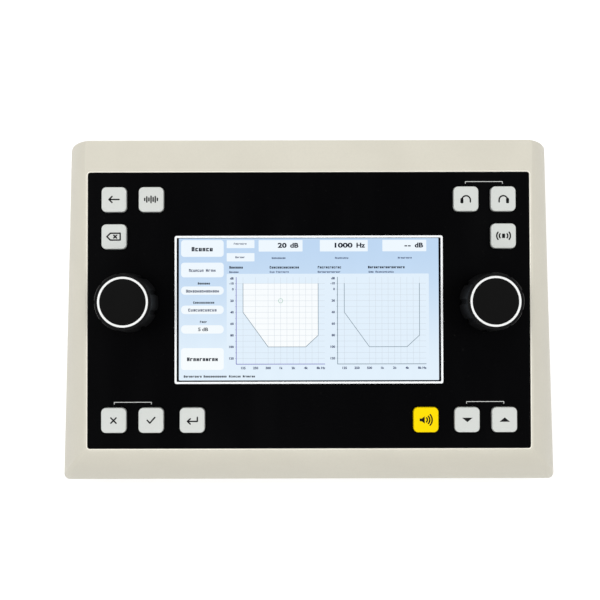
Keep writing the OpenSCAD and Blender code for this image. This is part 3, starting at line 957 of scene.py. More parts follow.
@dataclass(frozen=True)
class Lit:
    """A lit part of the display: its own light, fading down the screen.

    The fade runs from the first tint to the last between two places on y, in
    millimetres. A slow streak stands for the uneven backlight.
    """

    name: str
    upper: Tint
    lower: Tint
    upper_y: float = 1
    lower_y: float = 0
    streak: float = 0.03
    strength: float = 1.0
    base: Tint = (8, 9, 11)
    roughness: float = 0.22
    specular: float = 0.25

    def material(self) -> bpy.types.Material:
        """Builds the material.

        Returns:
            The material.
        """
        graph = Graph(self.name)
        place = graph.place
        fall = graph.axis(place, "Y").between(self.upper_y, self.lower_y)
        streak = graph.noise(9, 2, graph.turned_place((0, 0, 0), (1, 0.04, 1))).between(0.3, 0.7)
        cell = graph.axis(place, "X").wave(0.6) * 0.3
        light = graph.mix(fall, linear(self.upper), linear(self.lower))
        dim = graph.mix(streak * self.streak + cell * self.streak, light, linear(shaded(self.upper, -0.25)))
        return graph.surface(
            Base_Color=linear(self.base),
            Roughness=self.roughness + 0.06 * streak,
            Specular_IOR_Level=self.specular,
            Emission_Color=dim,
            Emission_Strength=self.strength,
        )


@dataclass(frozen=True)
class Ink:
    """Printing ink: nearly flat, a little thinner here and there."""

    name: str
    tint: Tint
    roughness: float = 0.6
    specular: float = 0.12

    def material(self) -> bpy.types.Material:
        """Builds the material.

        Returns:
            The material.
        """
        graph = Graph(self.name)
        thin = graph.noise(0.35, 2).between(0.45, 0.8)
        tone = graph.mix(thin * 0.3, linear(self.tint), linear(shaded(self.tint, 0.3)))
        return graph.surface(
            Base_Color=tone, Roughness=self.roughness + 0.1 * thin, Specular_IOR_Level=self.specular,
            Normal=graph.relief(thin, 0.004),
        )


@dataclass(frozen=True)
class Metal:
    """Drawn, rolled or plated metal: fine lines one way, and a light haze."""

    name: str
    tint: Tint
    roughness: float = 0.32
    lines: Point = (1, 0.03, 1)
    depth: float = 0.003
    tarnish: float = 0.12

    def material(self) -> bpy.types.Material:
        """Builds the material.

        Returns:
            The material.
        """
        graph = Graph(self.name)
        line = graph.noise(0.18, 2, graph.turned_place((0, 0, 0), self.lines))
        haze = graph.noise(7, 4).between(0.35, 0.75)
        tone = graph.mix(haze * self.tarnish, linear(self.tint), linear(shaded(self.tint, -0.4)))
        return graph.surface(
            Base_Color=tone, Metallic=1.0,
            Roughness=self.roughness + 0.12 * haze + 0.06 * line,
            Normal=graph.relief(line, self.depth),
        )


@dataclass(frozen=True)
class Laminate:
    """A circuit board: green mask over copper tracks and a woven core."""

    name: str
    mask: Tint = (16, 84, 48)
    copper: Tint = (34, 122, 66)
    pad: Tint = (186, 176, 140)
    track: float = 2.4

    def material(self) -> bpy.types.Material:
        """Builds the material.

        Returns:
            The material.
        """
        graph = Graph(self.name)
        place = graph.place
        across, along = graph.axis(place, "X"), graph.axis(place, "Y")
        bend = graph.noise(14, 0) * 9
        run = (across + bend).wave(self.track) > 0.62
        cross = (along + bend).wave(self.track * 1.3) > 0.7
        area = graph.noise(17, 0) > 0.5
        tracks = run * area + cross * (1 - area)
        pads = graph.cells(3.1) < 0.17
        weave = along.wave(0.4) * across.wave(0.4)
        green = graph.mix(tracks, linear(self.mask), linear(self.copper))
        return graph.surface(
            Base_Color=graph.mix(pads * 0.8, green, linear(self.pad)),
            Roughness=0.3 + 0.15 * weave,
            Coat_Weight=0.3,
            Coat_Roughness=0.15,
            Normal=graph.relief(tracks * 0.8 + weave * 0.2, 0.03),
        )


@dataclass(frozen=True)
class Flatline:
    """Flat cable: parallel conductors under a clear skin."""

    name: str
    skin: Tint
    wire: Tint
    pitch: float = 1.0

    def material(self) -> bpy.types.Material:
        """Builds the material.

        Returns:
            The material.
        """
        graph = Graph(self.name)
        rib = graph.axis(graph.place, "X").wave(self.pitch)
        cloud = graph.noise(6, 2)
        return graph.surface(
            Base_Color=graph.mix(rib.between(0.45, 0.75), linear(self.skin), linear(self.wire)),
            Roughness=0.35 + 0.15 * cloud,
            Normal=graph.relief(rib, 0.05),
        )


@dataclass(frozen=True)
class Rubber:
    """Rubber or foam: coarse grain, no shine, dust in its low places."""

    name: str
    tint: Tint
    grain: float = 0.8
    depth: float = 0.03

    def material(self) -> bpy.types.Material:
        """Builds the material.

        Returns:
            The material.
        """
        graph = Graph(self.name)
        grain = graph.noise(self.grain, 4)
        dust = graph.noise(12, 3).between(0.45, 0.8)
        tone = graph.mix(dust * 0.3, linear(self.tint), linear(shaded(self.tint, 0.9)))
        return graph.surface(
            Base_Color=tone, Roughness=0.78 + 0.12 * grain, Specular_IOR_Level=0.25,
            Normal=graph.relief(grain, self.depth),
        )


Finish = Moulded | Film | Lit | Ink | Metal | Laminate | Flatline | Rubber


@cache
def made(finish: Finish) -> bpy.types.Material:
    """Returns a finish's material, built once."""
    return finish.material()


def dress(thing: Piece, *finishes: Finish) -> Piece:
    """Gives a piece its finish, in place of any that it has.

    Args:
        thing: The piece.
        finishes: Its finishes, one for each material slot.

    Returns:
        The same piece.
    """
    thing.data.materials.clear()
    for finish in finishes:
        thing.data.materials.append(made(finish))
    return thing


SHELL = Moulded("beige_shell", (208, 204, 190), roughness=0.52, grain=0.55, clouding=0.008)
# The lip's rounded edge: a near-white beige, a painted highlight over the shell's own tint.
SHELL_LIP_HIGHLIGHT = Moulded(
    "beige_shell_edge", (254, 250, 236), roughness=0.34, grain=0.55, depth=0.004, clouding=0.008,
)
KEY_GREY = Moulded("key_grey", (206, 209, 205), roughness=0.44, grain=0.4, depth=0.006, clouding=0.006)
KEY_YELLOW = Moulded(
    "key_yellow", (246, 214, 0), roughness=0.42, grain=0.4, depth=0.006, clouding=0.006, specular=0.05,
)
DIAL_BLACK = Moulded("dial_black", (17, 17, 18), grain=0.45, clouding=0.05, specular=0.06)
CAP_BLACK = Moulded(
    "cap_black", (9, 9, 9), roughness=0.6, grain=0.3, depth=0.01, clouding=0.04, specular=0.07,
)
RING_WHITE = Moulded("ring_white", (240, 241, 240), roughness=0.34, depth=0.003, clouding=0.004)
FRAME_LIGHT = Moulded(
    "frame_light", (246, 248, 249), roughness=0.38, grain=0.4, depth=0.004, clouding=0.006,
)
PART_BLACK = Moulded("part_black", (24, 24, 25), depth=0.015, clouding=0.05)
EPOXY = Moulded("chip_epoxy", (40, 40, 42), roughness=0.6, grain=0.25, depth=0.02, clouding=0.06)
PANEL = Film("panel_film", (2, 2, 3), roughness=0.34, specular=0.04)
STEEL = Metal("rolled_steel", (186, 187, 190), roughness=0.34)
NICKEL = Metal("bright_nickel", (214, 211, 204), roughness=0.2, lines=(1, 1, 0.05), depth=0.002)
DARK_STEEL = Metal("dark_screw", (120, 121, 124), roughness=0.36)
GLASS_EDGE = Moulded(
    "glass_border", (12, 14, 20), roughness=0.2, grain=3, depth=0.0005, clouding=0.02,
    specular=0.15, coat=0.08,
)
LCD = Moulded("lcd_sandwich", (70, 76, 84), roughness=0.2, grain=2, depth=0.001, coat=0.5)
BOARD = Laminate("circuit_board")
FILM_CABLE = Flatline("film_cable", (184, 128, 62), (206, 158, 92), 0.5)
GREY_CABLE = Flatline("grey_cable", (160, 162, 164), (196, 198, 198), 1.27)
RUBBER = Rubber("foot_rubber", (34, 34, 35))
FOAM = Rubber("gasket_foam", (26, 26, 26), grain=0.35, depth=0.08)
KEY_INK = Ink("key_ink", (12, 12, 14))
PANEL_INK = Ink("panel_ink", (205, 206, 204))


# ---------------------------------------------------------------- the frame

class Frame:
    """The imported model, and the axes of its sloping deck."""

    def __init__(self) -> None:
        """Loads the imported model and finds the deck's axes from its joints."""
        self.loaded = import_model()
        self.bounds = [list(corner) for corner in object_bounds()]
        joints = {joint["name"]: joint for joint in self.loaded["joints"]}
        normal = Vector(joints["right_dial_turn"]["axis"])
        self.tilt = math.atan2(-normal.y, normal.z)
        left, right = (Vector(joints[f"{side}_dial_turn"]["pos_m"]) for side in ("left", "right"))
        self.to_world = Matrix.Scale(MM, 4)
        face = Matrix.Translation((left + right) / 2) @ Matrix.Rotation(self.tilt, 4, "X")
        self.deck = face @ self.to_world
        low, high = self.span("faceplate")
        self.deck = self.deck @ Matrix.Translation((0, (low.y + high.y) / 2, 0))

    def span(self, node: str, place: Matrix | None = None) -> tuple[Vector, Vector]:
        """Returns a node's lowest and highest corners on the deck, in millimetres.

        Args:
            node: The node's name.
            place: Other axes than the deck's, such as the frame's own.

        Returns:
            The two corners.
        """
        back = (place or self.deck).inverted()
        points = [back @ vertex.co for vertex in self.loaded["nodes"][node].data.vertices]
        low, high = (Vector(f(p[i] for p in points) for i in range(3)) for f in (min, max))
        return low, high

    def middle(self, node: str) -> Vector:
        """Returns the middle of a node's box on the deck, in millimetres."""
        low, high = self.span(node)
        return (low + high) / 2

    def keep(self, node: str, *finishes: Finish) -> None:
        """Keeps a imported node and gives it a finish.

        Args:
            node: The node's name.
            finishes: Its finish.
        """
        dress(self.loaded["nodes"][node], *finishes)
        LOG.info("%s keeps its solid, finished as %s", node, finishes[0].name)

    def traced(self, node: str) -> Piece:
        """Returns a merged copy of a node to work on, in millimetres.

        Args:
            node: The node's name.

        Returns:
            The copy, with flat faces whole again.
        """
        copy = self.loaded["nodes"][node].copy()
        copy.data = copy.data.copy()
        bpy.context.scene.collection.objects.link(copy)
        for key in list(copy.keys()):
            del copy[key]
        copy.parent = None
        copy.name = copy.data.name = f"{node}_traced"
        moved(copy, self.to_world.inverted())
        with editing(copy):
            bpy.ops.mesh.select_all(action="SELECT")
            bpy.ops.mesh.remove_doubles(threshold=TRACED_GAP)
            bpy.ops.mesh.dissolve_limited(angle_limit=math.radians(TRACED_ANGLE))
        return copy

    def fit(
        self, thing: Piece, slot: str, body: str = CONSOLE, stands_for: Sequence[str] = (),
        place: Matrix | None = None,
    ) -> Piece:
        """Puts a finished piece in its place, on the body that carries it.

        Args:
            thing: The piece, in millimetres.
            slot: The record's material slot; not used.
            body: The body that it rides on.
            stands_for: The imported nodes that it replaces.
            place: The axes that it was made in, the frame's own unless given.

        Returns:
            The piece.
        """
        moved(thing, place or self.to_world)
        settle()
        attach(thing, body)
        if stands_for:
            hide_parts(*stands_for)
        LOG.info("%s rides on %s, %d faces", thing.name, body, len(thing.data.polygons))
        return thing

    def close(self) -> None:
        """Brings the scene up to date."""
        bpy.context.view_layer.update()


# ---------------------------------------------------------------- the stage

@dataclass
class Stage:
    """The floor, the lights and the camera, at the photograph's viewing angle."""

    camera_place: Point = (-5.25, -64.06, 649.72)
    camera_tilt: float = 6.52
    camera_roll: float = -0.126
    lens: float = 60.3
    sweep: tuple[Spot, ...] = (
        (3000, -0.05), (3500, 40), (3900, 150), (4250, 350), (4480, 600), (4600, 900),
        (4700, 900), (4700, -60), (300, -60),
    )
    floor_tint: Tint = (205, 205, 205)
    floor_glow: Tint = (255, 255, 255)
    sky: float = 0.2
    sky_tint: Tint = (255, 255, 255)
    lamps: tuple[tuple[str, Point, float, float], ...] = (
        ("rear_softbox", (-150, 860, 1180), 900, 6.5),
        ("front_softbox", (0, -960, 1120), 850, 6.5),
        ("left_softbox", (-1000, 40, 1060), 850, 7.5),
        ("right_softbox", (1000, 40, 1060), 850, 7.4),
    )

    def camera(self) -> None:
        """Sets the camera."""
        data = bpy.data.cameras.new("camera")
        data.lens = self.lens
        data.sensor_width = 36
        camera = bpy.data.objects.new("camera", data)
        bpy.context.scene.collection.objects.link(camera)
        turn = Matrix.Rotation(math.radians(self.camera_tilt), 4, "X")
        roll = Matrix.Rotation(math.radians(self.camera_roll), 4, "Z")
        camera.matrix_world = Matrix.Translation(Vector(self.camera_place) * MM) @ turn @ roll
        bpy.context.scene.camera = camera

    def floor(self) -> None:
        """Turns the floor, which sweeps up far away into a low pale wall."""
        floor = smoothed(turned("floor", self.sweep, 96), 60)
        moved(floor, Matrix.Scale(MM, 4))
        dress(floor, Lit(
            "floor_sheet", self.floor_glow, self.floor_glow, streak=0, strength=0.5, base=self.floor_tint,
            roughness=0.92, specular=0.0,
        ))
        floor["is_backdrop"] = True

    def lights(self) -> None:
        """Hangs the softboxes, and sets the sky."""
        for name, place, side, power in self.lamps:
            data = bpy.data.lights.new(name, "AREA")
            data.shape = "SQUARE"
            data.size = side * MM
            data.energy = power
            lamp = bpy.data.objects.new(name, data)
            bpy.context.scene.collection.objects.link(lamp)
            lamp.location = Vector(place) * MM
            lamp.rotation_euler = Vector(place).to_track_quat("Z", "Y").to_euler()
        world = bpy.data.worlds.new("studio")
        world.use_nodes = True
        background = world.node_tree.nodes["Background"]
        background.inputs["Color"].default_value = linear(self.sky_tint)
        background.inputs["Strength"].default_value = self.sky
        bpy.context.scene.world = world
        bpy.context.scene.view_settings.view_transform = "Standard"

    def build(self) -> None:
        """Sets the whole stage."""
        self.camera()
        self.floor()
        self.lights()


# ----------------------------------------------------------------- the case

@dataclass
class TopShell:
    """The beige top shell, drawn through the same outlines as its solid."""

    frame: Frame
    seam: float = 22
    side_run: float = 17
    lip: float = 1.5
    rear_lean: float = 3.5
    seam_radius: float = 3.5
    deck_radius: float = 1.5
    rear_radius: float = 1.6
    bow: Spot = (0.65, 0.18)
    wall: float = 3
    deck_thickness: float = 5
    ledge: float = 5
    steps: int = 20
    bay_high: float = 31
    bay_width: float = 216
    collar: float = 2.6
    eased: float = 0.35
    lip_edge: float = 0.55
    seam_edge: float = 0.3
    corner: float = 2.4
    post_radius: float = 3.6
    bore_radius: float = 1.55
    bore_depth: float = 8.5
    screw_head: float = 2.8

    def __post_init__(self) -> None:
        """Reads the case's plan and the deck's outline from the frame."""
        low, high = self.frame.span("base_shell", self.frame.to_world)
        self.width, self.depth = high.x - low.x, high.y - low.y
        self.deck_width = self.width - 2 * self.side_run
        panel_low, panel_high = self.frame.span("faceplate")
        self.panel = (panel_high.x - panel_low.x, panel_high.y - panel_low.y)
        self.panel_back = panel_low.z
        origin = self.frame.deck @ Vector((0, 0, 0)) / MM
        self.deck_y, self.deck_z = origin.y, origin.z
        self.front = self.panel[1] / 2 + self.lip
        self.rear = (self.depth / 2 - self.rear_lean - self.deck_y) / math.cos(self.frame.tilt)

    def ring(self, share: float, inset: float) -> Piece:
        """Draws one outline of the case.

        Args:
            share: How far it is from the deck's fold, 0, to the seam, 1.
            inset: How far inside the outer face it lies.

        Returns:
            A rounded flat face.
        """
        run, fall = (2 * share * (1 - share) * part + share**2 for part in self.bow)
        hold = 1 - fall
        slope = math.atan(hold * math.tan(self.frame.tilt))
        deck_front_y = self.deck_y - self.front * math.cos(self.frame.tilt)
        deck_rear_y = self.deck_y + self.rear * math.cos(self.frame.tilt)
        front = deck_front_y - run * (self.depth / 2 + deck_front_y) + inset
        rear = deck_rear_y + fall * (self.depth / 2 - deck_rear_y) - inset
        width = self.deck_width + run * (self.width - self.deck_width) - 2 * inset
        length = (rear - front) / math.cos(slope)
        radii = self.deck_radius + run * (self.seam_radius - self.deck_radius), self.rear_radius
        settle()
        bpy.ops.mesh.primitive_plane_add(size=1)
        bpy.context.object.scale = (width, length, 1)
        face = named("outline")
        with editing(face):
            for far, radius in enumerate(radii):
                pick(face, Element.VERT, lambda v: (v.co.y > 0) == bool(far))
                bpy.ops.mesh.bevel(offset=max(radius - inset, 0.5), segments=6, affect="VERTICES")
        # The middle of an outline lies off the deck's own middle, up its slope
        shift = Vector((0, ((front + rear) / 2 - self.deck_y) / math.cos(slope), 0))
        place = Matrix.Translation((0, self.deck_y, self.seam + hold * (self.deck_z - self.seam)))
        return moved(face, place @ Matrix.Rotation(slope, 4, "X") @ Matrix.Translation(shift))

    def form(self, name: str, inset: float) -> Piece:
        """Draws the case's form above the seam.

        Args:
            name: The form's name.
            inset: How far inside the outer face it lies.

        Returns:
            A closed form.
        """
        rings = [self.ring(i / self.steps, inset) for i in range(self.steps + 1)]
        for face in rings[1:-1]:
            with editing(face):
                bpy.ops.mesh.select_all(action="SELECT")
                bpy.ops.mesh.delete(type="ONLY_FACE")
        form = united(name, *rings)
        with editing(form):
            bpy.ops.mesh.select_mode(type="EDGE")
            bpy.ops.mesh.select_all(action="SELECT")
            bpy.ops.mesh.bridge_edge_loops(type="SINGLE")
            face_outwards()
        return form

    def build(self) -> None:
        """Builds the shell and fits it in place of its solid."""
        shell = self.form("top_shell_cover", 0)
        with editing(shell):
            pick(shell, Element.EDGE, lambda e: all(abs(self.place_on_deck(v.co).z) < NEAR for v in e.verts))
            bpy.ops.mesh.bevel(offset=self.eased, segments=4, affect="EDGES", profile=0.5)
        hollow = self.form("hollow", self.wall)
        lid = self.on_deck(block("lid", (self.deck_width + 60, 300, 60), (0, 0, 30 - self.deck_thickness)))
        work(hollow, Join.CUT, lid)
        work(shell, Join.CUT, hollow)
        work(shell, Join.WELD, *self.posts(), self.bay_collar())
        wide = [side + 0.2 for side in self.panel]
        narrow = [side - 2 * self.ledge for side in self.panel]
        opening = self.on_deck(slab("opening", wide, 5, 5 - self.panel_back, 1.6))
        work(shell, Join.CUT, opening, self.on_deck(slab("ledge", narrow, 5, 15, 1.5)))
        self.cut_bay(shell)
        cleaned(shell)
        rounded(shell, self.lip_edge, self.at_lip)
        rounded(shell, self.seam_edge, self.at_seam, 2)
        rounded(shell, self.seam_edge, self.at_bay, 2)
        smoothed(shell)
        # The lip's rounded edge takes the near-white tint: a painted highlight, over the light that its
        # rounding really catches.
        refinished(dress(shell, SHELL, SHELL_LIP_HIGHLIGHT), 1, self.on_lip)
        self.frame.fit(shell, "shell", stands_for=["top_shell"])

    def cut_bay(self, shell: Piece) -> None:
        """Cuts the connector bay and the slot that its plate slides into.

        Args:
            shell: The shell.
        """
        height = self.bay_high - self.seam + 1
        centre = (0, self.depth / 2 + 2, self.seam - 1 + height / 2)
        bay = block("bay", (self.bay_width, 30, height), centre)
        low, high = self.frame.span("rear_panel", self.frame.to_world)
        slot = block("slot", [side + 0.2 for side in high - low], (low + high) / 2)
        work(shell, Join.CUT, bay, slot)

    def place_on_deck(self, point: Vector) -> Vector:
        """Returns a point of the frame in the deck's axes, in millimetres."""
        return self.frame.deck.inverted() @ self.frame.to_world @ point

    def at_lip(self, edge: bmesh.types.BMEdge) -> bool:
        """Says whether an edge of the deck's face runs round the panel's opening.

        Args:
            edge: An edge of the shell.

        Returns:
            Whether it does.
        """
        points = [self.place_on_deck(v.co) for v in edge.verts]
        reach = [side / 2 + 0.4 for side in self.panel]
        inside = all(abs(p.x) < reach[0] and abs(p.y) < reach[1] for p in points)
        return inside and all(abs(p.z) < 0.03 for p in points)

    def at_seam(self, edge: bmesh.types.BMEdge) -> bool:
        """Says whether an edge runs round the outside at the seam.

        Args:
            edge: An edge of the shell.

        Returns:
            Whether it does.
        """
        points = [v.co for v in edge.verts]
        x, y = self.width / 2 - self.corner, self.depth / 2 - self.corner
        outside = all(abs(p.x) > x or abs(p.y) > y for p in points)
        return outside and all(abs(p.z - self.seam) < NEAR for p in points)

    def at_bay(self, edge: bmesh.types.BMEdge) -> bool:
        """Says whether an edge of the rear face runs round the connector bay.

        Args:
            edge: An edge of the shell.

        Returns:
            Whether it does.
        """
        points = [v.co for v in edge.verts]
        behind = all(p.y > self.depth / 2 - self.corner and p.z > self.seam + 0.1 for p in points)
        across = all(abs(p.z - self.bay_high) < NEAR for p in points)
        return behind and (across or all(abs(abs(p.x) - self.bay_width / 2) < NEAR for p in points))

    def on_lip(self, face: bmesh.types.BMFace) -> bool:
        """Says whether a face lies on the lip's rounded edge, which catches the light and is tinted
        near-white as a painted highlight.

        Args:
            face: A face of the shell.

        Returns:
            Whether it does.
        """
        reach = [side / 2 + 0.1 + self.lip_edge * 1.1 for side in self.panel]
        points = [self.place_on_deck(v.co) for v in face.verts]
        inside = all(abs(p.x) < reach[0] and abs(p.y) < reach[1] for p in points)
        return inside and all(-self.lip_edge * 1.1 < p.z < 0.03 for p in points)

    def on_deck(self, thing: Piece) -> Piece:
        """Moves a tool from the deck's axes to the frame's, in millimetres."""
        return moved(thing, self.frame.to_world.inverted() @ self.frame.deck)

    def room(self) -> Piece:
        """Draws the room for the posts and the bay's block, just inside the outer face."""
        lid = self.on_deck(block("lid", (self.width, 300, 60), (0, 0, 29)))
        return work(self.form("room", 1), Join.CUT, lid)

    def posts(self) -> list[Piece]:
        """Draws the six screw posts, cut to the inside of the shell.

        Returns:
            The posts, each with its bore.
        """
        low, high = self.frame.span("case_screws", self.frame.to_world)
        posts = []
        for x in (low.x + self.screw_head, high.x - self.screw_head):
            for y in (low.y + self.screw_head, 2, high.y - self.screw_head):
                post = drum("post", self.post_radius, 40, (x, y, self.seam), 32)
                post = work(post, Join.COMMON, self.room())
                bore = drum("bore", self.bore_radius, self.bore_depth + 1, (x, y, self.seam - 1), 32)
                posts.append(work(post, Join.CUT, bore))
        return posts

    def bay_collar(self) -> Piece:
        """Draws the block that the connector bay is cut from.

        Returns:
            The block.
        """
        plate_low, _ = self.frame.span("rear_panel", self.frame.to_world)
        back, front = self.depth / 2 - 1, plate_low.y - 2
        height = self.bay_high + self.collar - self.seam
        size = (self.bay_width + 2 * self.collar, back - front, height)
        collar = block("collar", size, (0, (back + front) / 2, self.seam + height / 2))
        return work(collar, Join.COMMON, self.room())


@dataclass
class BaseShell:
    """The base tray, its feet and the screws that hold the case together."""

    frame: Frame
    chamfer: float = 2.5
    seam: float = 22
    eased: float = 0.3
    corner: float = 2.9
    foot_radius: float = 6.5
    head_radius: float = 2.8
    shank_radius: float = 1.5
    hexagon: float = 1.25

    def __post_init__(self) -> None:
        """Reads the tray's box from the frame."""
        self.low, self.high = self.frame.span("base_shell", self.frame.to_world)

    def build(self) -> None:
        """Builds the base and what is fixed to its underside."""
        tray = self.frame.traced("base_shell")
        tray.name = tray.data.name = "base_tray"
        smoothed(rounded(tray, self.eased, self.at_outside, 2))
        self.frame.fit(dress(tray, SHELL), "shell", stands_for=["base_shell"])
        self.feet()
        self.screws()

    def at_outside(self, edge: bmesh.types.BMEdge) -> bool:
        """Says whether an edge runs round the outside, at the foot, the chamfer or the seam.

        Args:
            edge: An edge of the tray.

        Returns:
            Whether it does.
        """
        points = [v.co for v in edge.verts]
        levels = (self.low.z, self.low.z + self.chamfer, self.seam)
        level = any(all(abs(p.z - z) < NEAR for p in points) for z in levels)
        x, y = self.high.x - self.corner, self.high.y - self.corner
        return level and all(abs(p.x) > x or abs(p.y) > y for p in points)

    def feet(self) -> None:
        """Turns one rubber foot and copies it to the four corners."""
        low, high = self.frame.span("rubber_feet", self.frame.to_world)
        radius, height = self.foot_radius, high.z - low.z
        foot = turned("foot", [
            (radius - 1.6, 0.5), (radius - 1.9, 0.0), (radius - 0.9, 0.0), (radius - 0.3, 0.35),
            (radius, 1.1), (radius, height),
        ], 48)
        feet = copied(foot, "feet", [
            (x, y, 0) for x in (low.x + radius, high.x - radius) for y in (low.y + radius, high.y - radius)
        ])
        soften(feet, 0.12, 2, 35)
        self.frame.fit(dress(feet, RUBBER), "rubber", stands_for=["rubber_feet"])

    def screws(self) -> None:
        """Turns one case screw, sinks its hexagon and copies it to six places."""
        low, high = self.frame.span("case_screws", self.frame.to_world)
        head, shank, length = self.head_radius, self.shank_radius, high.z - low.z
        screw = turned("screw", [
            (head * 0.72, 0), (head * 0.92, 0.25), (head, 0.8), (head, 2),
            (shank, 2), (shank, length - 0.6), (0.6 * shank, length),
        ], 32)
        work(screw, Join.CUT, drum("hexagon", self.hexagon, 2, (0, 0, -1), 6))
        screws = copied(screw, "case_screw_set", [
            (x, y, low.z) for x in (low.x + head, high.x - head) for y in (low.y + head, 2, high.y - head)
        ])
        soften(screws, 0.08, 2, 35)
        self.frame.fit(dress(screws, DARK_STEEL), "nickel", stands_for=["case_screws"])


# ---------------------------------------------------------------- the panel

@dataclass
class FrontPanel:
    """The black front panel, with the holes for all that comes through it."""

    frame: Frame
    radius: float = 1.5
    bushing: float = 4.6
    window_gap: float = 0.1
    bracket_line: float = 0.34
    bracket_rise: float = 10.6
    bracket_tick: float = 1.1

    def build(self, keys: "Keypad") -> None:
        """Builds the panel and the thin brackets that group its keys.

        Args:
            keys: The keys, which say where the holes are.
        """
        low, high = self.frame.span("faceplate")
        plate = slab("front_panel", (high.x - low.x, high.y - low.y), high.z, high.z - low.z, self.radius)
        window_low, window_high = self.frame.span("window_frame")
        size = [side + 2 * self.window_gap for side in (window_high - window_low).xy]
        tools = [slab("window", size, 3, 10, 1.3, tuple(self.frame.middle("window_frame").xy))]
        hole = keys.side + 2 * keys.clearance
        for place in keys.places.values():
            tools.append(slab("hole", (hole, hole), 3, 10, keys.radius + keys.clearance, tuple(place.xy)))
        for side in ("left", "right"):
            centre = self.frame.middle(f"dial_{side}")
            tools.append(drum("bushing_hole", self.bushing, 10, (centre.x, centre.y, -7)))
        work(plate, Join.CUT, united("cutters", *tools))
        soften(plate, 0.16, 2, 40)
        self.frame.fit(dress(plate, PANEL), "panel", stands_for=["faceplate"], place=self.frame.deck)
        self.brackets(keys, high.z)

    def brackets(self, keys: "Keypad", level: float) -> None:
        """Prints a bracket over each pair of keys that works together.

        Args:
            keys: The keys.
            level: The panel's face.
        """
        lines = []
        for first, last in (("left", "right"), ("no", "yes"), ("down", "up")):
            y = keys.places[first].y + self.bracket_rise
            x0, x1 = keys.places[first].x, keys.places[last].x
            points = [(x0, y - self.bracket_tick), (x0, y), (x1, y), (x1, y - self.bracket_tick)]
            lines.append(outline("bracket", points, self.bracket_line, 0.03, level))
        marks = dress(united("panel_brackets", *lines), PANEL_INK)
        self.frame.fit(marks, "panel", place=self.frame.deck)


# ----------------------------------------------------------------- the keys

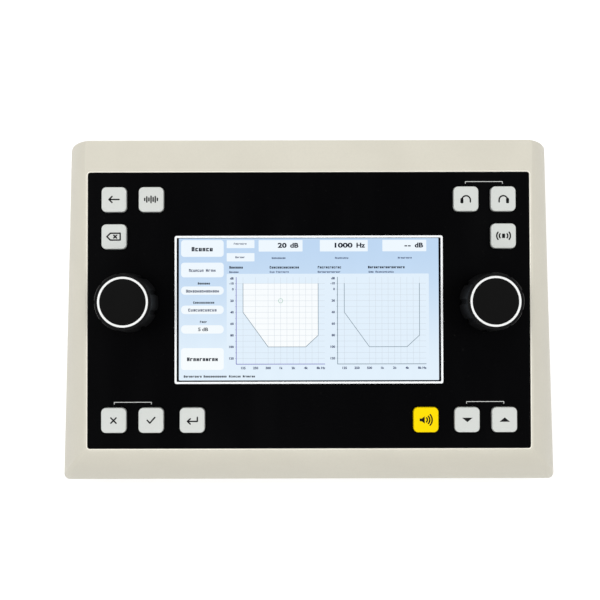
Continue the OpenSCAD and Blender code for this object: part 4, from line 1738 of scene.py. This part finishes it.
@dataclass
class Keypad:
    """The twelve key caps, and the sign printed on each."""

    frame: Frame
    side: float = 14.8
    radius: float = 2.8
    skin: float = 1.5
    clearance: float = 0.3
    socket: float = 2.85
    bore: float = 1.65
    flange: float = 1.1
    flange_thickness: float = 1.0
    edge: float = 0.6
    ink: float = 0.03
    line: float = 0.7
    sign_size: float = 1.2
    names: tuple[str, ...] = (
        "back", "mask", "delete", "left", "right", "bone", "no", "yes", "enter", "signal", "down", "up"
    )

    def __post_init__(self) -> None:
        """Reads each key's place and levels from the frame."""
        self.places = {name: self.frame.middle(f"key_{name}") for name in self.names}
        low, high = self.frame.span("key_back")
        self.foot, self.top = low.z, high.z

    def cap(self) -> Piece:
        """Shapes one key cap at the middle of the deck.

        Returns:
            The cap, hollow from below, with its collar and the socket for its plunger.
        """
        height = self.top - self.foot
        cap = slab("cap", (self.side, self.side), self.top, height, self.radius, segments=10)
        with editing(cap):
            pick(cap, Element.EDGE, lambda e: all(v.co.z > self.top - 0.01 for v in e.verts))
            bpy.ops.mesh.bevel(offset=self.edge, segments=5, affect="EDGES", profile=0.5)
            pick(cap, Element.FACE, lambda f: f.normal.z < -0.9)
            bpy.ops.mesh.inset(thickness=self.skin)
            bpy.ops.mesh.extrude_region_move(TRANSFORM_OT_translate={"value": (0, 0, height - self.skin)})
        skirt = self.side + 2 * (self.clearance + self.flange)
        level = self.foot + self.flange_thickness
        collar = slab("collar", (skirt, skirt), level, self.flange_thickness, self.radius)
        work(collar, Join.CUT, slab("inside", [self.side - 2 * self.skin] * 2, 5, 15, 1.6))
        socket = drum("socket", self.socket, height - 1, (0, 0, self.foot), 32)
        work(socket, Join.CUT, drum("bore", self.bore, height - self.skin, (0, 0, self.foot - 0.01), 32))
        return smoothed(united("cap", cap, collar, socket), 35)

    def build(self) -> None:
        """Copies the cap to its twelve places and prints the signs."""
        cap = self.cap()
        for name, place in self.places.items():
            shift = (place.x, place.y, 0)
            finish, slot = (KEY_YELLOW, "key_yellow") if name == "signal" else (KEY_GREY, "key_grey")
            key = dress(another(cap, f"{name}_key_cap", shift), finish)
            body = f"{name}_key"
            self.frame.fit(key, slot, body, [f"key_{name}"], self.frame.deck)
            mark = united(f"{name}_key_mark", *getattr(self, f"{name}_mark")())
            size = Matrix.Diagonal((self.sign_size, self.sign_size, 1, 1))
            mark = moved(mark, Matrix.Translation((place.x, place.y, self.top)) @ size)
            self.frame.fit(dress(mark, KEY_INK), slot, body, place=self.frame.deck)
        discard(cap)

    def lines(self, *runs: Sequence[Spot]) -> list[Piece]:
        """Prints lines through points.

        Args:
            runs: Each line's points.

        Returns:
            The lines.
        """
        return [outline("line", run, self.line, self.ink) for run in runs]

    def back_mark(self) -> list[Piece]:
        """An arrow to the left."""
        return self.lines([(2.6, 0), (-2.4, 0)], [(-0.9, 1.5), (-2.4, 0), (-0.9, -1.5)])

    def mask_mark(self) -> list[Piece]:
        """Noise: a row of upright bars of uneven height."""
        heights = (0.5, 1.3, 0.7, 1.6, 0.9, 1.4, 0.5)
        return self.lines(*[[((i - 3) * 1.05, -h), ((i - 3) * 1.05, h)] for i, h in enumerate(heights)])

    def delete_mark(self) -> list[Piece]:
        """A cross in a tab that points to the left."""
        tab = [(-3.4, 0), (-1.7, 1.7), (3.2, 1.7), (3.2, -1.7), (-1.7, -1.7), (-3.4, 0)]
        return self.lines(tab, [(0, 0.7), (1.4, -0.7)], [(0, -0.7), (1.4, 0.7)])

    def ear(self, side: int) -> list[Piece]:
        """An ear cup with a band, on one side of the head.

        Args:
            side: -1 for the left, 1 for the right.

        Returns:
            The sign.
        """
        band = [(side * x, y) for x, y in arc((0, -0.6), 2.1, 0, 180, 10)]
        cup = slab("cup", (1.5, 2.6), self.ink, self.ink, 0.5, (side * 2.1, -1.0), 4)
        other = [(-side * 2.1, -0.6), (-side * 2.1, -1.6)]
        return [*self.lines(band, other), cup]

    def left_mark(self) -> list[Piece]:
        """A headband with its left cup."""
        return self.ear(-1)

    def right_mark(self) -> list[Piece]:
        """A headband with its right cup."""
        return self.ear(1)

    def bone_mark(self) -> list[Piece]:
        """A vibrating block between two waves."""
        core = slab("core", (1.5, 2.2), self.ink, self.ink, 0.3, (0, 0), 4)
        waves = [
            arc((side * 0.5, 0), radius, 90 - 90 * side - 38, 90 - 90 * side + 38, 6)
            for side in (-1, 1) for radius in (1.6, 2.9)
        ]
        return [core, *self.lines(*waves)]

    def no_mark(self) -> list[Piece]:
        """A cross."""
        return self.lines([(-1.3, -1.3), (1.3, 1.3)], [(-1.3, 1.3), (1.3, -1.3)])

    def yes_mark(self) -> list[Piece]:
        """A tick."""
        return self.lines([(-1.8, 0.1), (-0.5, -1.3), (2.0, 1.5)])

    def enter_mark(self) -> list[Piece]:
        """A return arrow."""
        return self.lines([(2.6, 1.5), (2.6, -0.5), (-2.3, -0.5)], [(-0.9, 0.8), (-2.3, -0.5), (-0.9, -1.8)])

    def signal_mark(self) -> list[Piece]:
        """A loudspeaker and its sound."""
        horn = [(-3.2, -0.7), (-2.1, -0.7), (-0.7, -1.8), (-0.7, 1.8), (-2.1, 0.7), (-3.2, 0.7)]
        waves = [arc((-0.9, 0), radius, -42, 42, 6) for radius in (1.5, 2.7, 3.9)]
        return [filled("horn", horn, self.ink), *self.lines(*waves)]

    def down_mark(self) -> list[Piece]:
        """A flat triangle that points down."""
        return [filled("triangle", [(-2.6, 1.0), (0, -1.15), (2.6, 1.0)], self.ink)]

    def up_mark(self) -> list[Piece]:
        """A flat triangle that points up."""
        return [filled("triangle", [(-2.6, -1.0), (2.6, -1.0), (0, 1.15)], self.ink)]


# ---------------------------------------------------------------- the dials

@dataclass
class Dial:
    """One rotary dial: a lobed body, a light ring and a flat cap."""

    frame: Frame
    side: str
    foot_radius: float = 17.6
    rim_radius: float = 16.4
    lobes: int = 9
    groove: float = 1.8
    groove_depth: float = 1.5
    recess: float = 1.4
    ring_radius: float = 14.65
    ring_width: float = 1.25
    pocket: float = 8.2
    pocket_depth: float = 5.3
    shaft_hole: float = 3.05
    phase: float = 0.5
    sides: int = 144

    def __post_init__(self) -> None:
        """Reads the dial's place and levels from the frame."""
        low, high = self.frame.span(f"dial_{self.side}")
        self.centre = (low + high) / 2
        self.foot, self.top = low.z, high.z
        self.ring_inside = self.ring_radius - self.ring_width

    def body(self) -> Piece:
        """Turns the lobed body, and cuts its grooves and the hole for its shaft.

        Returns:
            The body.
        """
        foot, top, rim = self.foot, self.top, self.rim_radius
        upper = rim + 0.35 * (self.foot_radius - rim)
        body = turned(f"{self.side}_dial_body", [
            (self.pocket, foot + self.pocket_depth), (self.pocket, foot), (self.foot_radius - 0.9, foot),
            (self.foot_radius - 0.3, foot + 0.25), (self.foot_radius, foot + 0.9), (upper, top - 2.2),
            (rim, top - 0.7), (rim - 0.25, top - 0.2), (rim - 0.6, top),
            (self.ring_radius + 0.25, top), (self.ring_radius + 0.05, top - 0.2),
            (self.ring_radius + 0.05, top - self.recess),
        ], self.sides)
        reach = self.foot_radius + self.groove - self.groove_depth
        for i in range(self.lobes):
            turn = math.radians((i + self.phase) * 360 / self.lobes)
            place = (reach * math.cos(turn), reach * math.sin(turn), foot - 1)
            work(body, Join.CUT, drum("groove", self.groove, top - foot + 2, place, 48))
        work(body, Join.CUT, drum("shaft_hole", self.shaft_hole, 30, (0, 0, foot - 1), 48))
        return soften(body, 0.35, 3, 24)

    def ring(self) -> Piece:
        """Turns the light ring that sits in the body's face.

        Returns:
            The ring.
        """
        outer, inner, top = self.ring_radius, self.ring_inside, self.top
        ring = turned(f"{self.side}_dial_light_ring", [
            (outer, top - self.recess), (outer, top - 0.2), (outer - 0.12, top - 0.06), (outer - 0.35, top),
            (inner + 0.3, top), (inner + 0.1, top - 0.06), (inner, top - 0.2),
            (inner, top - self.recess + 0.1),
        ], self.sides)
        return work(ring, Join.CUT, drum("eye", inner - 0.01, 5, (0, 0, top - 4), self.sides))

    def cap(self) -> Piece:
        """Turns the flat cap that the ring holds.

        Returns:
            The cap.
        """
        radius, top = self.ring_inside - 0.05, self.top
        return turned(f"{self.side}_dial_flat_cap", [
            (radius, top - self.recess), (radius, top - 0.45), (radius - 0.1, top - 0.28),
            (radius - 0.35, top - 0.2), (radius * 0.5, top - 0.17), (radius * 0.1, top - 0.16),
        ], self.sides)

    def build(self) -> None:
        """Fits the dial's three pieces on the body that turns."""
        place = self.frame.deck @ Matrix.Translation((self.centre.x, self.centre.y, 0))
        for piece, finish, slot, node in (
            (self.body(), DIAL_BLACK, "dial", f"dial_{self.side}"),
            (self.ring(), RING_WHITE, "ring", f"dial_ring_{self.side}"),
            (self.cap(), CAP_BLACK, "dial", f"dial_cap_{self.side}"),
        ):
            hold(piece)
            bpy.ops.object.shade_smooth_by_angle(angle=math.radians(32))
            self.frame.fit(dress(piece, finish), slot, f"{self.side}_dial", [node], place)


# -------------------------------------------------------------- the display

@dataclass
class Picture:
    """What the display shows.

    Its places are in millimetres from the upper left corner of the lit face,
    rightwards and downwards. Words are rows of plain forms that spell nothing.
    """

    frame: Frame
    level: float
    left: float = -77.96
    top: float = 43.46
    lit: tuple[float, float, float, float] = (0.0, 0.35, 156.0, 85.6)
    backing: tuple[float, float, float, float] = (28.7, 21.7, 150.1, 79.3)
    sheet: float = 0.02
    # Each button's upper and lower side and the radius of its corners
    buttons: tuple[tuple[float, float, float], ...] = (
        (1.3, 11.4, 1.8), (14.9, 23.7, 1.8), (29.2, 34.2, 2.3), (40.7, 45.8, 2.3), (52.5, 57.5, 2.3),
        (66.2, 79.3, 1.8),
    )
    button_sides: Spot = (1.3, 26.9)
    # Each box's left, upper, right and lower side
    boxes: tuple[tuple[float, float, float, float], ...] = (
        (28.7, 1.4, 45.4, 6.2), (28.7, 9.2, 45.4, 14.2),
        (47.9, 1.4, 74.3, 8.3), (84.7, 1.4, 113.5, 8.3), (122.3, 1.4, 148.7, 8.3),
    )
    # Each word's left and right end, its middle and its height
    bold_words: tuple[tuple[float, float, float, float], ...] = (
        (7.4, 20.5, 6.8, 2.3), (4.7, 23.5, 72.9, 2.0),
        (11.2, 18.7, 27.4, 1.15), (8.5, 21.3, 38.9, 1.15), (12.5, 16.9, 50.5, 1.15),
        (2.8, 13.7, 83.2, 1.15), (14.7, 28.7, 83.2, 1.15), (29.9, 37.1, 83.2, 1.15), (38.2, 45.7, 83.2, 1.15),
        (30.1, 38.5, 17.8, 1.3), (54.4, 72.2, 17.8, 1.3), (83.3, 97.6, 17.8, 1.3), (113.5, 135.7, 17.8, 1.3),
    )
    thin_words: tuple[tuple[float, float, float, float], ...] = (
        (5.9, 14.9, 19.6, 1.5), (16.1, 22.1, 19.6, 1.5), (4.1, 24.2, 32.0, 1.5), (5.5, 22.7, 43.4, 1.5),
        (32.9, 40.7, 3.6, 1.0), (33.8, 39.7, 11.7, 1.0),
        (55.7, 64.1, 12.2, 1.0), (93.7, 101.9, 12.2, 1.0), (131.5, 140.0, 12.2, 1.0),
        (30.1, 35.9, 20.6, 1.0), (54.5, 57.5, 20.6, 1.0), (58.3, 66.1, 20.6, 1.0), (83.3, 97.1, 20.6, 1.0),
        (113.9, 117.0, 20.6, 1.0), (118.0, 129.1, 20.6, 1.0),
    )
    enlarged: float = 1.12
    letters: tuple[tuple[str, ...], ...] = (
        ("left", "right", "top"), ("left", "right", "top", "foot"), ("left", "top", "foot"),
        ("left", "right", "waist"), ("left", "right", "foot"), ("left", "top"),
        ("right", "top", "waist", "foot"),
    )
    # Each value's text, its middle, its height, its weight and its spread
    values: tuple[tuple[str, float, float, float, float, float], ...] = (
        ("20", 62.05, 4.75, 2.8, 0.16, 1.35), ("dB", 69.3, 4.75, 2.8, 0.14, 1.2),
        ("1000", 98.5, 4.75, 2.8, 0.15, 1.5), ("Hz", 109.1, 4.75, 2.8, 0.15, 1.15),
        ("-", 136.4, 4.75, 2.8, 0.16, 1.3), ("-", 138.5, 4.75, 2.8, 0.16, 1.3),
        ("dB", 144.2, 4.75, 2.8, 0.14, 1.2),
        ("5", 12.3, 55.1, 2.1, 0.06, 1.2), ("dB", 15.7, 55.1, 2.1, 0.06, 1.15),
    )
    second_chart: float = 60.8

    def spot(self, x: float, y: float) -> Spot:
        """Returns a place of the picture on the deck."""
        return (self.left + x, self.top - y)

    def field(self, box: Sequence[float], radius: float, layer: int) -> Piece:
        """Lays a rounded field of the picture.

        Args:
            box: Its left, upper, right and lower side.
            radius: The radius of its corners.
            layer: How many sheets lie under it.

        Returns:
            The field.
        """
        x0, y0, x1, y1 = box
        centre = self.spot((x0 + x1) / 2, (y0 + y1) / 2)
        top = self.level + (layer + 1) * self.sheet
        return slab("field", (x1 - x0, y1 - y0), top, self.sheet, radius, centre, 6)

    def alphabet(self, stem: float, bar: float, layer: int) -> list[Piece]:
        """Shapes the forms that stand for letters, each in a square millimetre.

        Args:
            stem: The width of an upright.
            bar: The height of a crossbar.
            layer: How many sheets lie under them.

        Returns:
            The forms, ready to be copied.
        """
        level = self.level + (layer + 0.5) * self.sheet
        bars = {
            "left": ((stem, 1), (stem / 2 - 0.5, 0)),
            "right": ((stem, 1), (0.5 - stem / 2, 0)),
            "top": ((1, bar), (0, 0.5 - bar / 2)),
            "waist": ((0.94, bar), (0, 0)),
            "foot": ((1, bar), (0, bar / 2 - 0.5)),
        }
        forms = []
        for letter in self.letters:
            parts = [block(side, (*bars[side][0], self.sheet), (*bars[side][1], level)) for side in letter]
            forms.append(united("form", *parts))
        return forms

    def words(self, spans: Sequence[Sequence[float]], stem: float, bar: float, layer: int) -> list[Piece]:
        """Lays words, each a row of plain forms: a tall one and then lower ones.

        Args:
            spans: Each word's left and right end, its middle and its height.
            stem: The width of an upright, as a share of a form.
            bar: The height of a crossbar, as a share of a form.
            layer: How many sheets lie under it.

        Returns:
            The words.
        """
        forms = self.alphabet(stem, bar, layer)
        words = []
        for row, (x0, x1, y, height) in enumerate(spans):
            height *= self.enlarged
            count = max(2, round((x1 - x0) / (height * 0.82)))
            pitch = (x1 - x0) / count
            for i in range(count):
                tall = height if i == 0 else height * 0.8
                centre = self.spot(x0 + (i + 0.5) * pitch, y + (height - tall) / 2)
                form = forms[(3 * row + 2 * i + i // 3) % len(forms)]
                words.append(another(form, "word", (*centre, 0), (pitch * 0.8, tall, 1)))
        discard(*forms)
        return words

    def fields(self) -> list[Piece]:
        """Lays the buttons and the boxes that hold the values.

        Returns:
            The fields.
        """
        left, right = self.button_sides
        return [
            *[self.field((left, upper, right, lower), radius, 1) for upper, lower, radius in self.buttons],
            *[self.field(box, 0.3, 1) for box in self.boxes],
        ]

    def readouts(self) -> list[Piece]:
        """Prints the values and their units.

        Returns:
            The values.
        """
        level = self.level + 3 * self.sheet
        return [
            figures("value", text, height, self.spot(x, y), level, weight, spread=spread)
            for text, x, y, height, weight, spread in self.values
        ]

    def build(self) -> None:
        """Builds the lit face and everything on it."""
        low, high = self.frame.span("touch_glass", self.frame.to_world)
        fade = {"upper_y": high.y - 4, "lower_y": low.y + 4}
        sky = Lit("screen_ground", (191, 216, 243), (228, 242, 253), **fade)
        pale = Lit("screen_pale", (226, 240, 252), (226, 240, 252), **fade, streak=0.015)
        white = Lit("screen_white", (247, 251, 254), (250, 253, 254), **fade, streak=0.01)
        button = Lit("screen_button", (238, 247, 254), (247, 252, 254), **fade, streak=0.01)
        dark = Ink("screen_dark", (12, 22, 40), 0.5, 0.05)
        grey = Ink("screen_grey", (40, 52, 92), 0.5, 0.05)
        rule = Lit("screen_rule", (206, 214, 222), (200, 210, 220), **fade)
        violet = Lit("screen_axis", (118, 112, 190), (112, 108, 186), **fade)
        slate = Lit("screen_slate", (128, 146, 158), (128, 146, 158), **fade)
        green = Lit("screen_marker", (150, 196, 178), (150, 196, 178), **fade)
        first, second = Chart(self, 0), Chart(self, self.second_chart)
        layers: list[tuple[str, Finish, list[Piece]]] = [
            ("screen_ground", sky, [self.field(self.lit, 0.3, 0)]),
            ("screen_backing", pale, [self.field(self.backing, 0.4, 1)]),
            ("screen_buttons", button, self.fields()),
            ("screen_bold_words", dark, [*self.words(self.bold_words, 0.46, 0.3, 2), *self.readouts()]),
            ("screen_thin_words", grey, self.words(self.thin_words, 0.36, 0.26, 2)),
            ("chart_grid", rule, [*first.grid(), *second.grid()]),
            ("chart_first_axes", violet, first.axes()),
            ("chart_numbers", grey, [*first.numbers(), *second.numbers()]),
            ("chart_paper", white, [first.paper()]),
            ("chart_second_axes", slate, [*second.axes(), second.border(), first.border()]),
            ("chart_marker", green, [first.marker()]),
        ]
        for name, finish, pieces in layers:
            self.frame.fit(dress(united(name, *pieces), finish), "glass", place=self.frame.deck)


@dataclass
class Chart:
    """One hearing chart of the picture.

    A reading is a number of octaves above 125 Hz and a level in decibels.
    """

    picture: Picture
    shift: float
    first_octave: float = 38.5
    octave: float = 7.52
    zero: float = 31.0
    ten: float = 3.46
    rows: int = 14
    columns: tuple[float, ...] = (0, 1, 2, 2.5, 3, 3.5, 4, 4.5, 5, 5.5, 6)
    sides: Spot = (34.4, 87.5)
    ends: Spot = (23.9, 75.9)
    greatest: tuple[Spot, ...] = ((6, -10), (6, 80), (5, 100), (2, 100), (0, 40), (0, -10))
    marked: Spot = (3, 20)
    circle: float = 1.3
    figure: float = 1.35
    weight: float = 0.07

    def level(self, layer: int) -> float:
        """Returns the level above a number of sheets."""
        return self.picture.level + layer * self.picture.sheet

    def spot(self, x: float, y: float) -> Spot:
        """Returns a place of the chart on the deck."""
        return self.picture.spot(self.shift + x, y)

    def reading(self, octave: float, decibels: float) -> Spot:
        """Returns the place of a reading on the deck."""
        return self.spot(self.first_octave + octave * self.octave, self.zero + decibels * self.ten / 10)

    def rule(self, start: Spot, end: Spot, width: float, layer: int) -> Piece:
        """Lays a straight line.

        Args:
            start: Its first end.
            end: Its last end.
            width: Its width.
            layer: How many sheets lie under it.

        Returns:
            The line.
        """
        places = self.spot(*start), self.spot(*end)
        return stroke("rule", *places, width, self.picture.sheet, self.level(layer))

    def grid(self) -> list[Piece]:
        """Rules the chart's paper.

        Returns:
            Its upright lines, and its level lines as one piece.
        """
        left, right = self.sides
        highest = self.zero - self.ten
        places = [self.first_octave + column * self.octave for column in self.columns]
        upright = [self.rule((x, self.ends[0]), (x, self.ends[1]), 0.16, 4) for x in places]
        level = self.rule((left, highest), (right, highest), 0.16, 4)
        return [*upright, repeat(level, self.rows, (0, -self.ten, 0))]

    def axes(self) -> list[Piece]:
        """Draws the two axes and the ticks on the upright one.

        Returns:
            Its lines.
        """
        left, right = self.sides
        upper, lower = self.ends
        highest = self.zero - self.ten
        upright = self.rule((left, upper - 0.1), (left, lower), 0.42, 5)
        level = self.rule((left, lower), (right, lower), 0.42, 5)
        tick = self.rule((left - 0.5, highest), (left, highest), 0.22, 5)
        return [upright, level, repeat(tick, self.rows, (0, -self.ten, 0))]

    def border(self) -> Piece:
        """Draws the line of the greatest levels."""
        points = [self.reading(*place) for place in self.greatest]
        return outline("border", points, 0.36, self.picture.sheet, self.level(6))

    def paper(self) -> Piece:
        """Fills the field inside the line of the greatest levels."""
        points = [self.reading(*place) for place in reversed(self.greatest)]
        return filled("paper", points, self.picture.sheet, self.level(3))

    def marker(self) -> Piece:
        """Draws the circle round the reading that is set."""
        points = arc(self.reading(*self.marked), self.circle, 0, 360, 16)
        return outline("marker", points, 0.26, self.picture.sheet, self.level(6))

    def numbers(self) -> list[Piece]:
        """Prints the numbers and units along the axes.

        Returns:
            The numbers, those under the chart first.
        """
        below, beside = 78.3, 32.9
        marks = [
            (text, self.spot(self.first_octave + i * self.octave, below), "CENTER")
            for i, text in enumerate(("125", "250", "500", "1k", "2k", "4k", "8k"))
        ]
        marks += [
            (str(decibels), self.spot(beside, self.zero + decibels * self.ten / 10), "RIGHT")
            for decibels in (-10, 0, 20, 40, 60, 80, 100, 120)
        ]
        marks.append(("dB", self.spot(beside, self.ends[0] + 0.6), "RIGHT"))
        marks.append(("Hz", self.spot(87.6, below), "RIGHT"))
        return [
            figures("number", text, self.figure, spot, self.level(4), self.weight, align, 1.1)
            for text, spot, align in marks
        ]


@dataclass
class Display:
    """The display: its light frame, its glass and what it shows."""

    frame: Frame
    edge: float = 1.25
    radius: float = 1.2

    def __post_init__(self) -> None:
        """Reads the light frame's place and size from the frame."""
        low, high = self.frame.span("window_frame")
        self.centre = tuple(((low + high) / 2).xy)
        self.size = (high.x - low.x, high.y - low.y)
        self.foot, self.face = low.z, high.z

    def on_inner_wall(self, face: bmesh.types.BMFace) -> bool:
        """Says whether a face lies on the inner wall of the light frame.

        Args:
            face: A face of the light frame.

        Returns:
            Whether it does.
        """
        reach = [side / 2 - self.edge + 0.05 for side in self.size]
        return all(
            v.co.z < self.face - 0.2
            and abs(v.co.x - self.centre[0]) < reach[0]
            and abs(v.co.y - self.centre[1]) < reach[1]
            for v in face.verts
        )

    def build(self) -> None:
        """Builds the frame, the glass and the picture."""
        window = [side - 2 * self.edge for side in self.size]
        rim = slab("display_rim", self.size, self.face, self.face - self.foot, self.radius, self.centre)
        work(rim, Join.CUT, slab("opening", window, 4, 12, 0.5, self.centre))
        soften(rim, 0.24, 3, 30)
        refinished(dress(rim, FRAME_LIGHT, GLASS_EDGE), 1, self.on_inner_wall)
        self.frame.fit(rim, "frame", stands_for=["window_frame"], place=self.frame.deck)
        low, high = self.frame.span("touch_glass")
        size = (high.x - low.x, high.y - low.y)
        glass = slab("display_glass", size, high.z, high.z - low.z, 2.2, self.centre)
        soften(glass, 0.15, 2, 30)
        self.frame.fit(dress(glass, GLASS_EDGE), "glass", stands_for=["touch_glass"], place=self.frame.deck)
        Picture(self.frame, high.z).build()


# ------------------------------------------------------------- the rear bay

@dataclass
class RearBay:
    """The connector plate, and the jacks, sockets and switch in it."""

    frame: Frame
    rocker_width: float = 15
    rocker_tip: float = 2.0
    rocker_waist: float = 1.2
    rocker_rest: float = 7

    def piece(
        self, node: str, name: str, finish: Finish, slot: str, width: float, body: str = CONSOLE,
    ) -> Piece:
        """Refines a traced node: its edges are rounded and it gets its finish.

        Args:
            node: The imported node.
            name: The new piece's name.
            finish: Its finish.
            slot: The record's material slot.
            width: The width of its rounded edges.
            body: The body that it rides on.

        Returns:
            The piece.
        """
        thing = soften(self.frame.traced(node), width, 2, 32)
        thing.name = thing.data.name = name
        return self.frame.fit(dress(thing, finish), slot, body, [node])

    def build(self) -> None:
        """Builds every piece of the bay."""
        self.piece("rear_panel", "connector_plate", SHELL, "shell", 0.2)
        self.piece("phone_jacks", "phone_jack_bodies", PART_BLACK, "black_part", 0.25)
        self.piece("jack_nuts", "jack_nut_set", NICKEL, "nickel", 0.25)
        self.piece("power_jack", "power_inlet_body", PART_BLACK, "black_part", 0.2)
        self.piece("usb_socket", "usb_socket_shell", STEEL, "nickel", 0.12)
        self.piece("switch_housing", "switch_bezel", PART_BLACK, "black_part", 0.3)
        self.piece("switch_rocker", "rocker_cap", PART_BLACK, "black_part", 0.3, "power_rocker")
        self.rocker_marks()

    def rocker_marks(self) -> None:
        """Prints a line on the rocker's pressed end, and a ring on its other end."""
        joint = next(j for j in self.frame.loaded["joints"] if j["name"] == "power_rocker_swing")
        pivot = Matrix.Translation(Vector(joint["pos_m"]) / MM)
        pivot = pivot @ Matrix.Rotation(math.radians(self.rocker_rest), 4, "Z")
        lean = math.atan2(self.rocker_tip - self.rocker_waist, self.rocker_width / 2)
        upright = Matrix(((-1, 0, 0, 0), (0, 0, 1, 0), (0, 1, 0, 0), (0, 0, 0, 1)))
        signs = (
            outline("on", [(0, -1.7), (0, 1.7)], 0.6, 0.03),
            outline("off", arc((0, 0), 1.6, 0, 360, 24), 0.5, 0.03),
        )
        rise = (self.rocker_tip + self.rocker_waist) / 2
        for side, sign in zip((-1, 1), signs):
            wing = Matrix.Translation((side * self.rocker_width / 4, rise, 0))
            moved(sign, pivot @ wing @ Matrix.Rotation(side * lean, 4, "Z") @ upright)
        self.frame.fit(dress(united("rocker_marks", *signs), PANEL_INK), "black_part", "power_rocker")


@dataclass
class Inside:
    """The solids that the case hides: each keeps its shape and gets a finish."""

    frame: Frame
    finishes: dict[str, Finish] = field(default_factory=lambda: {
        "display_gasket": FOAM,
        "lcd_panel": LCD,
        "lcd_frame": STEEL,
        "display_brackets": STEEL,
        "key_board": BOARD,
        "key_switches": PART_BLACK,
        "panel_standoffs": NICKEL,
        "encoder_bodies": STEEL,
        "encoder_nuts": NICKEL,
        "dial_shaft_left": NICKEL,
        "dial_shaft_right": NICKEL,
        "main_board": BOARD,
        "board_components": EPOXY,
        "display_ribbon": FILM_CABLE,
        "key_ribbon": GREY_CABLE,
        "board_screws": DARK_STEEL,
    })

    def build(self, keys: Keypad) -> None:
        """Dresses the hidden solids.

        Args:
            keys: The keys, each of which has a plunger.
        """
        for node, finish in self.finishes.items():
            self.frame.keep(node, finish)
        for name in keys.names:
            self.frame.keep(f"plunger_{name}", PART_BLACK)


def main() -> None:
    """Builds the dressed audiometer and its stage."""
    logging.basicConfig(level=logging.INFO, format="%(name)s: %(message)s")
    frame = Frame()
    Stage().build()
    keys = Keypad(frame)
    TopShell(frame).build()
    BaseShell(frame).build()
    FrontPanel(frame).build(keys)
    keys.build()
    for side in ("left", "right"):
        Dial(frame, side).build()
    Display(frame).build()
    RearBay(frame).build()
    Inside(frame).build(keys)
    frame.close()


if __name__ == "__main__":
    main()
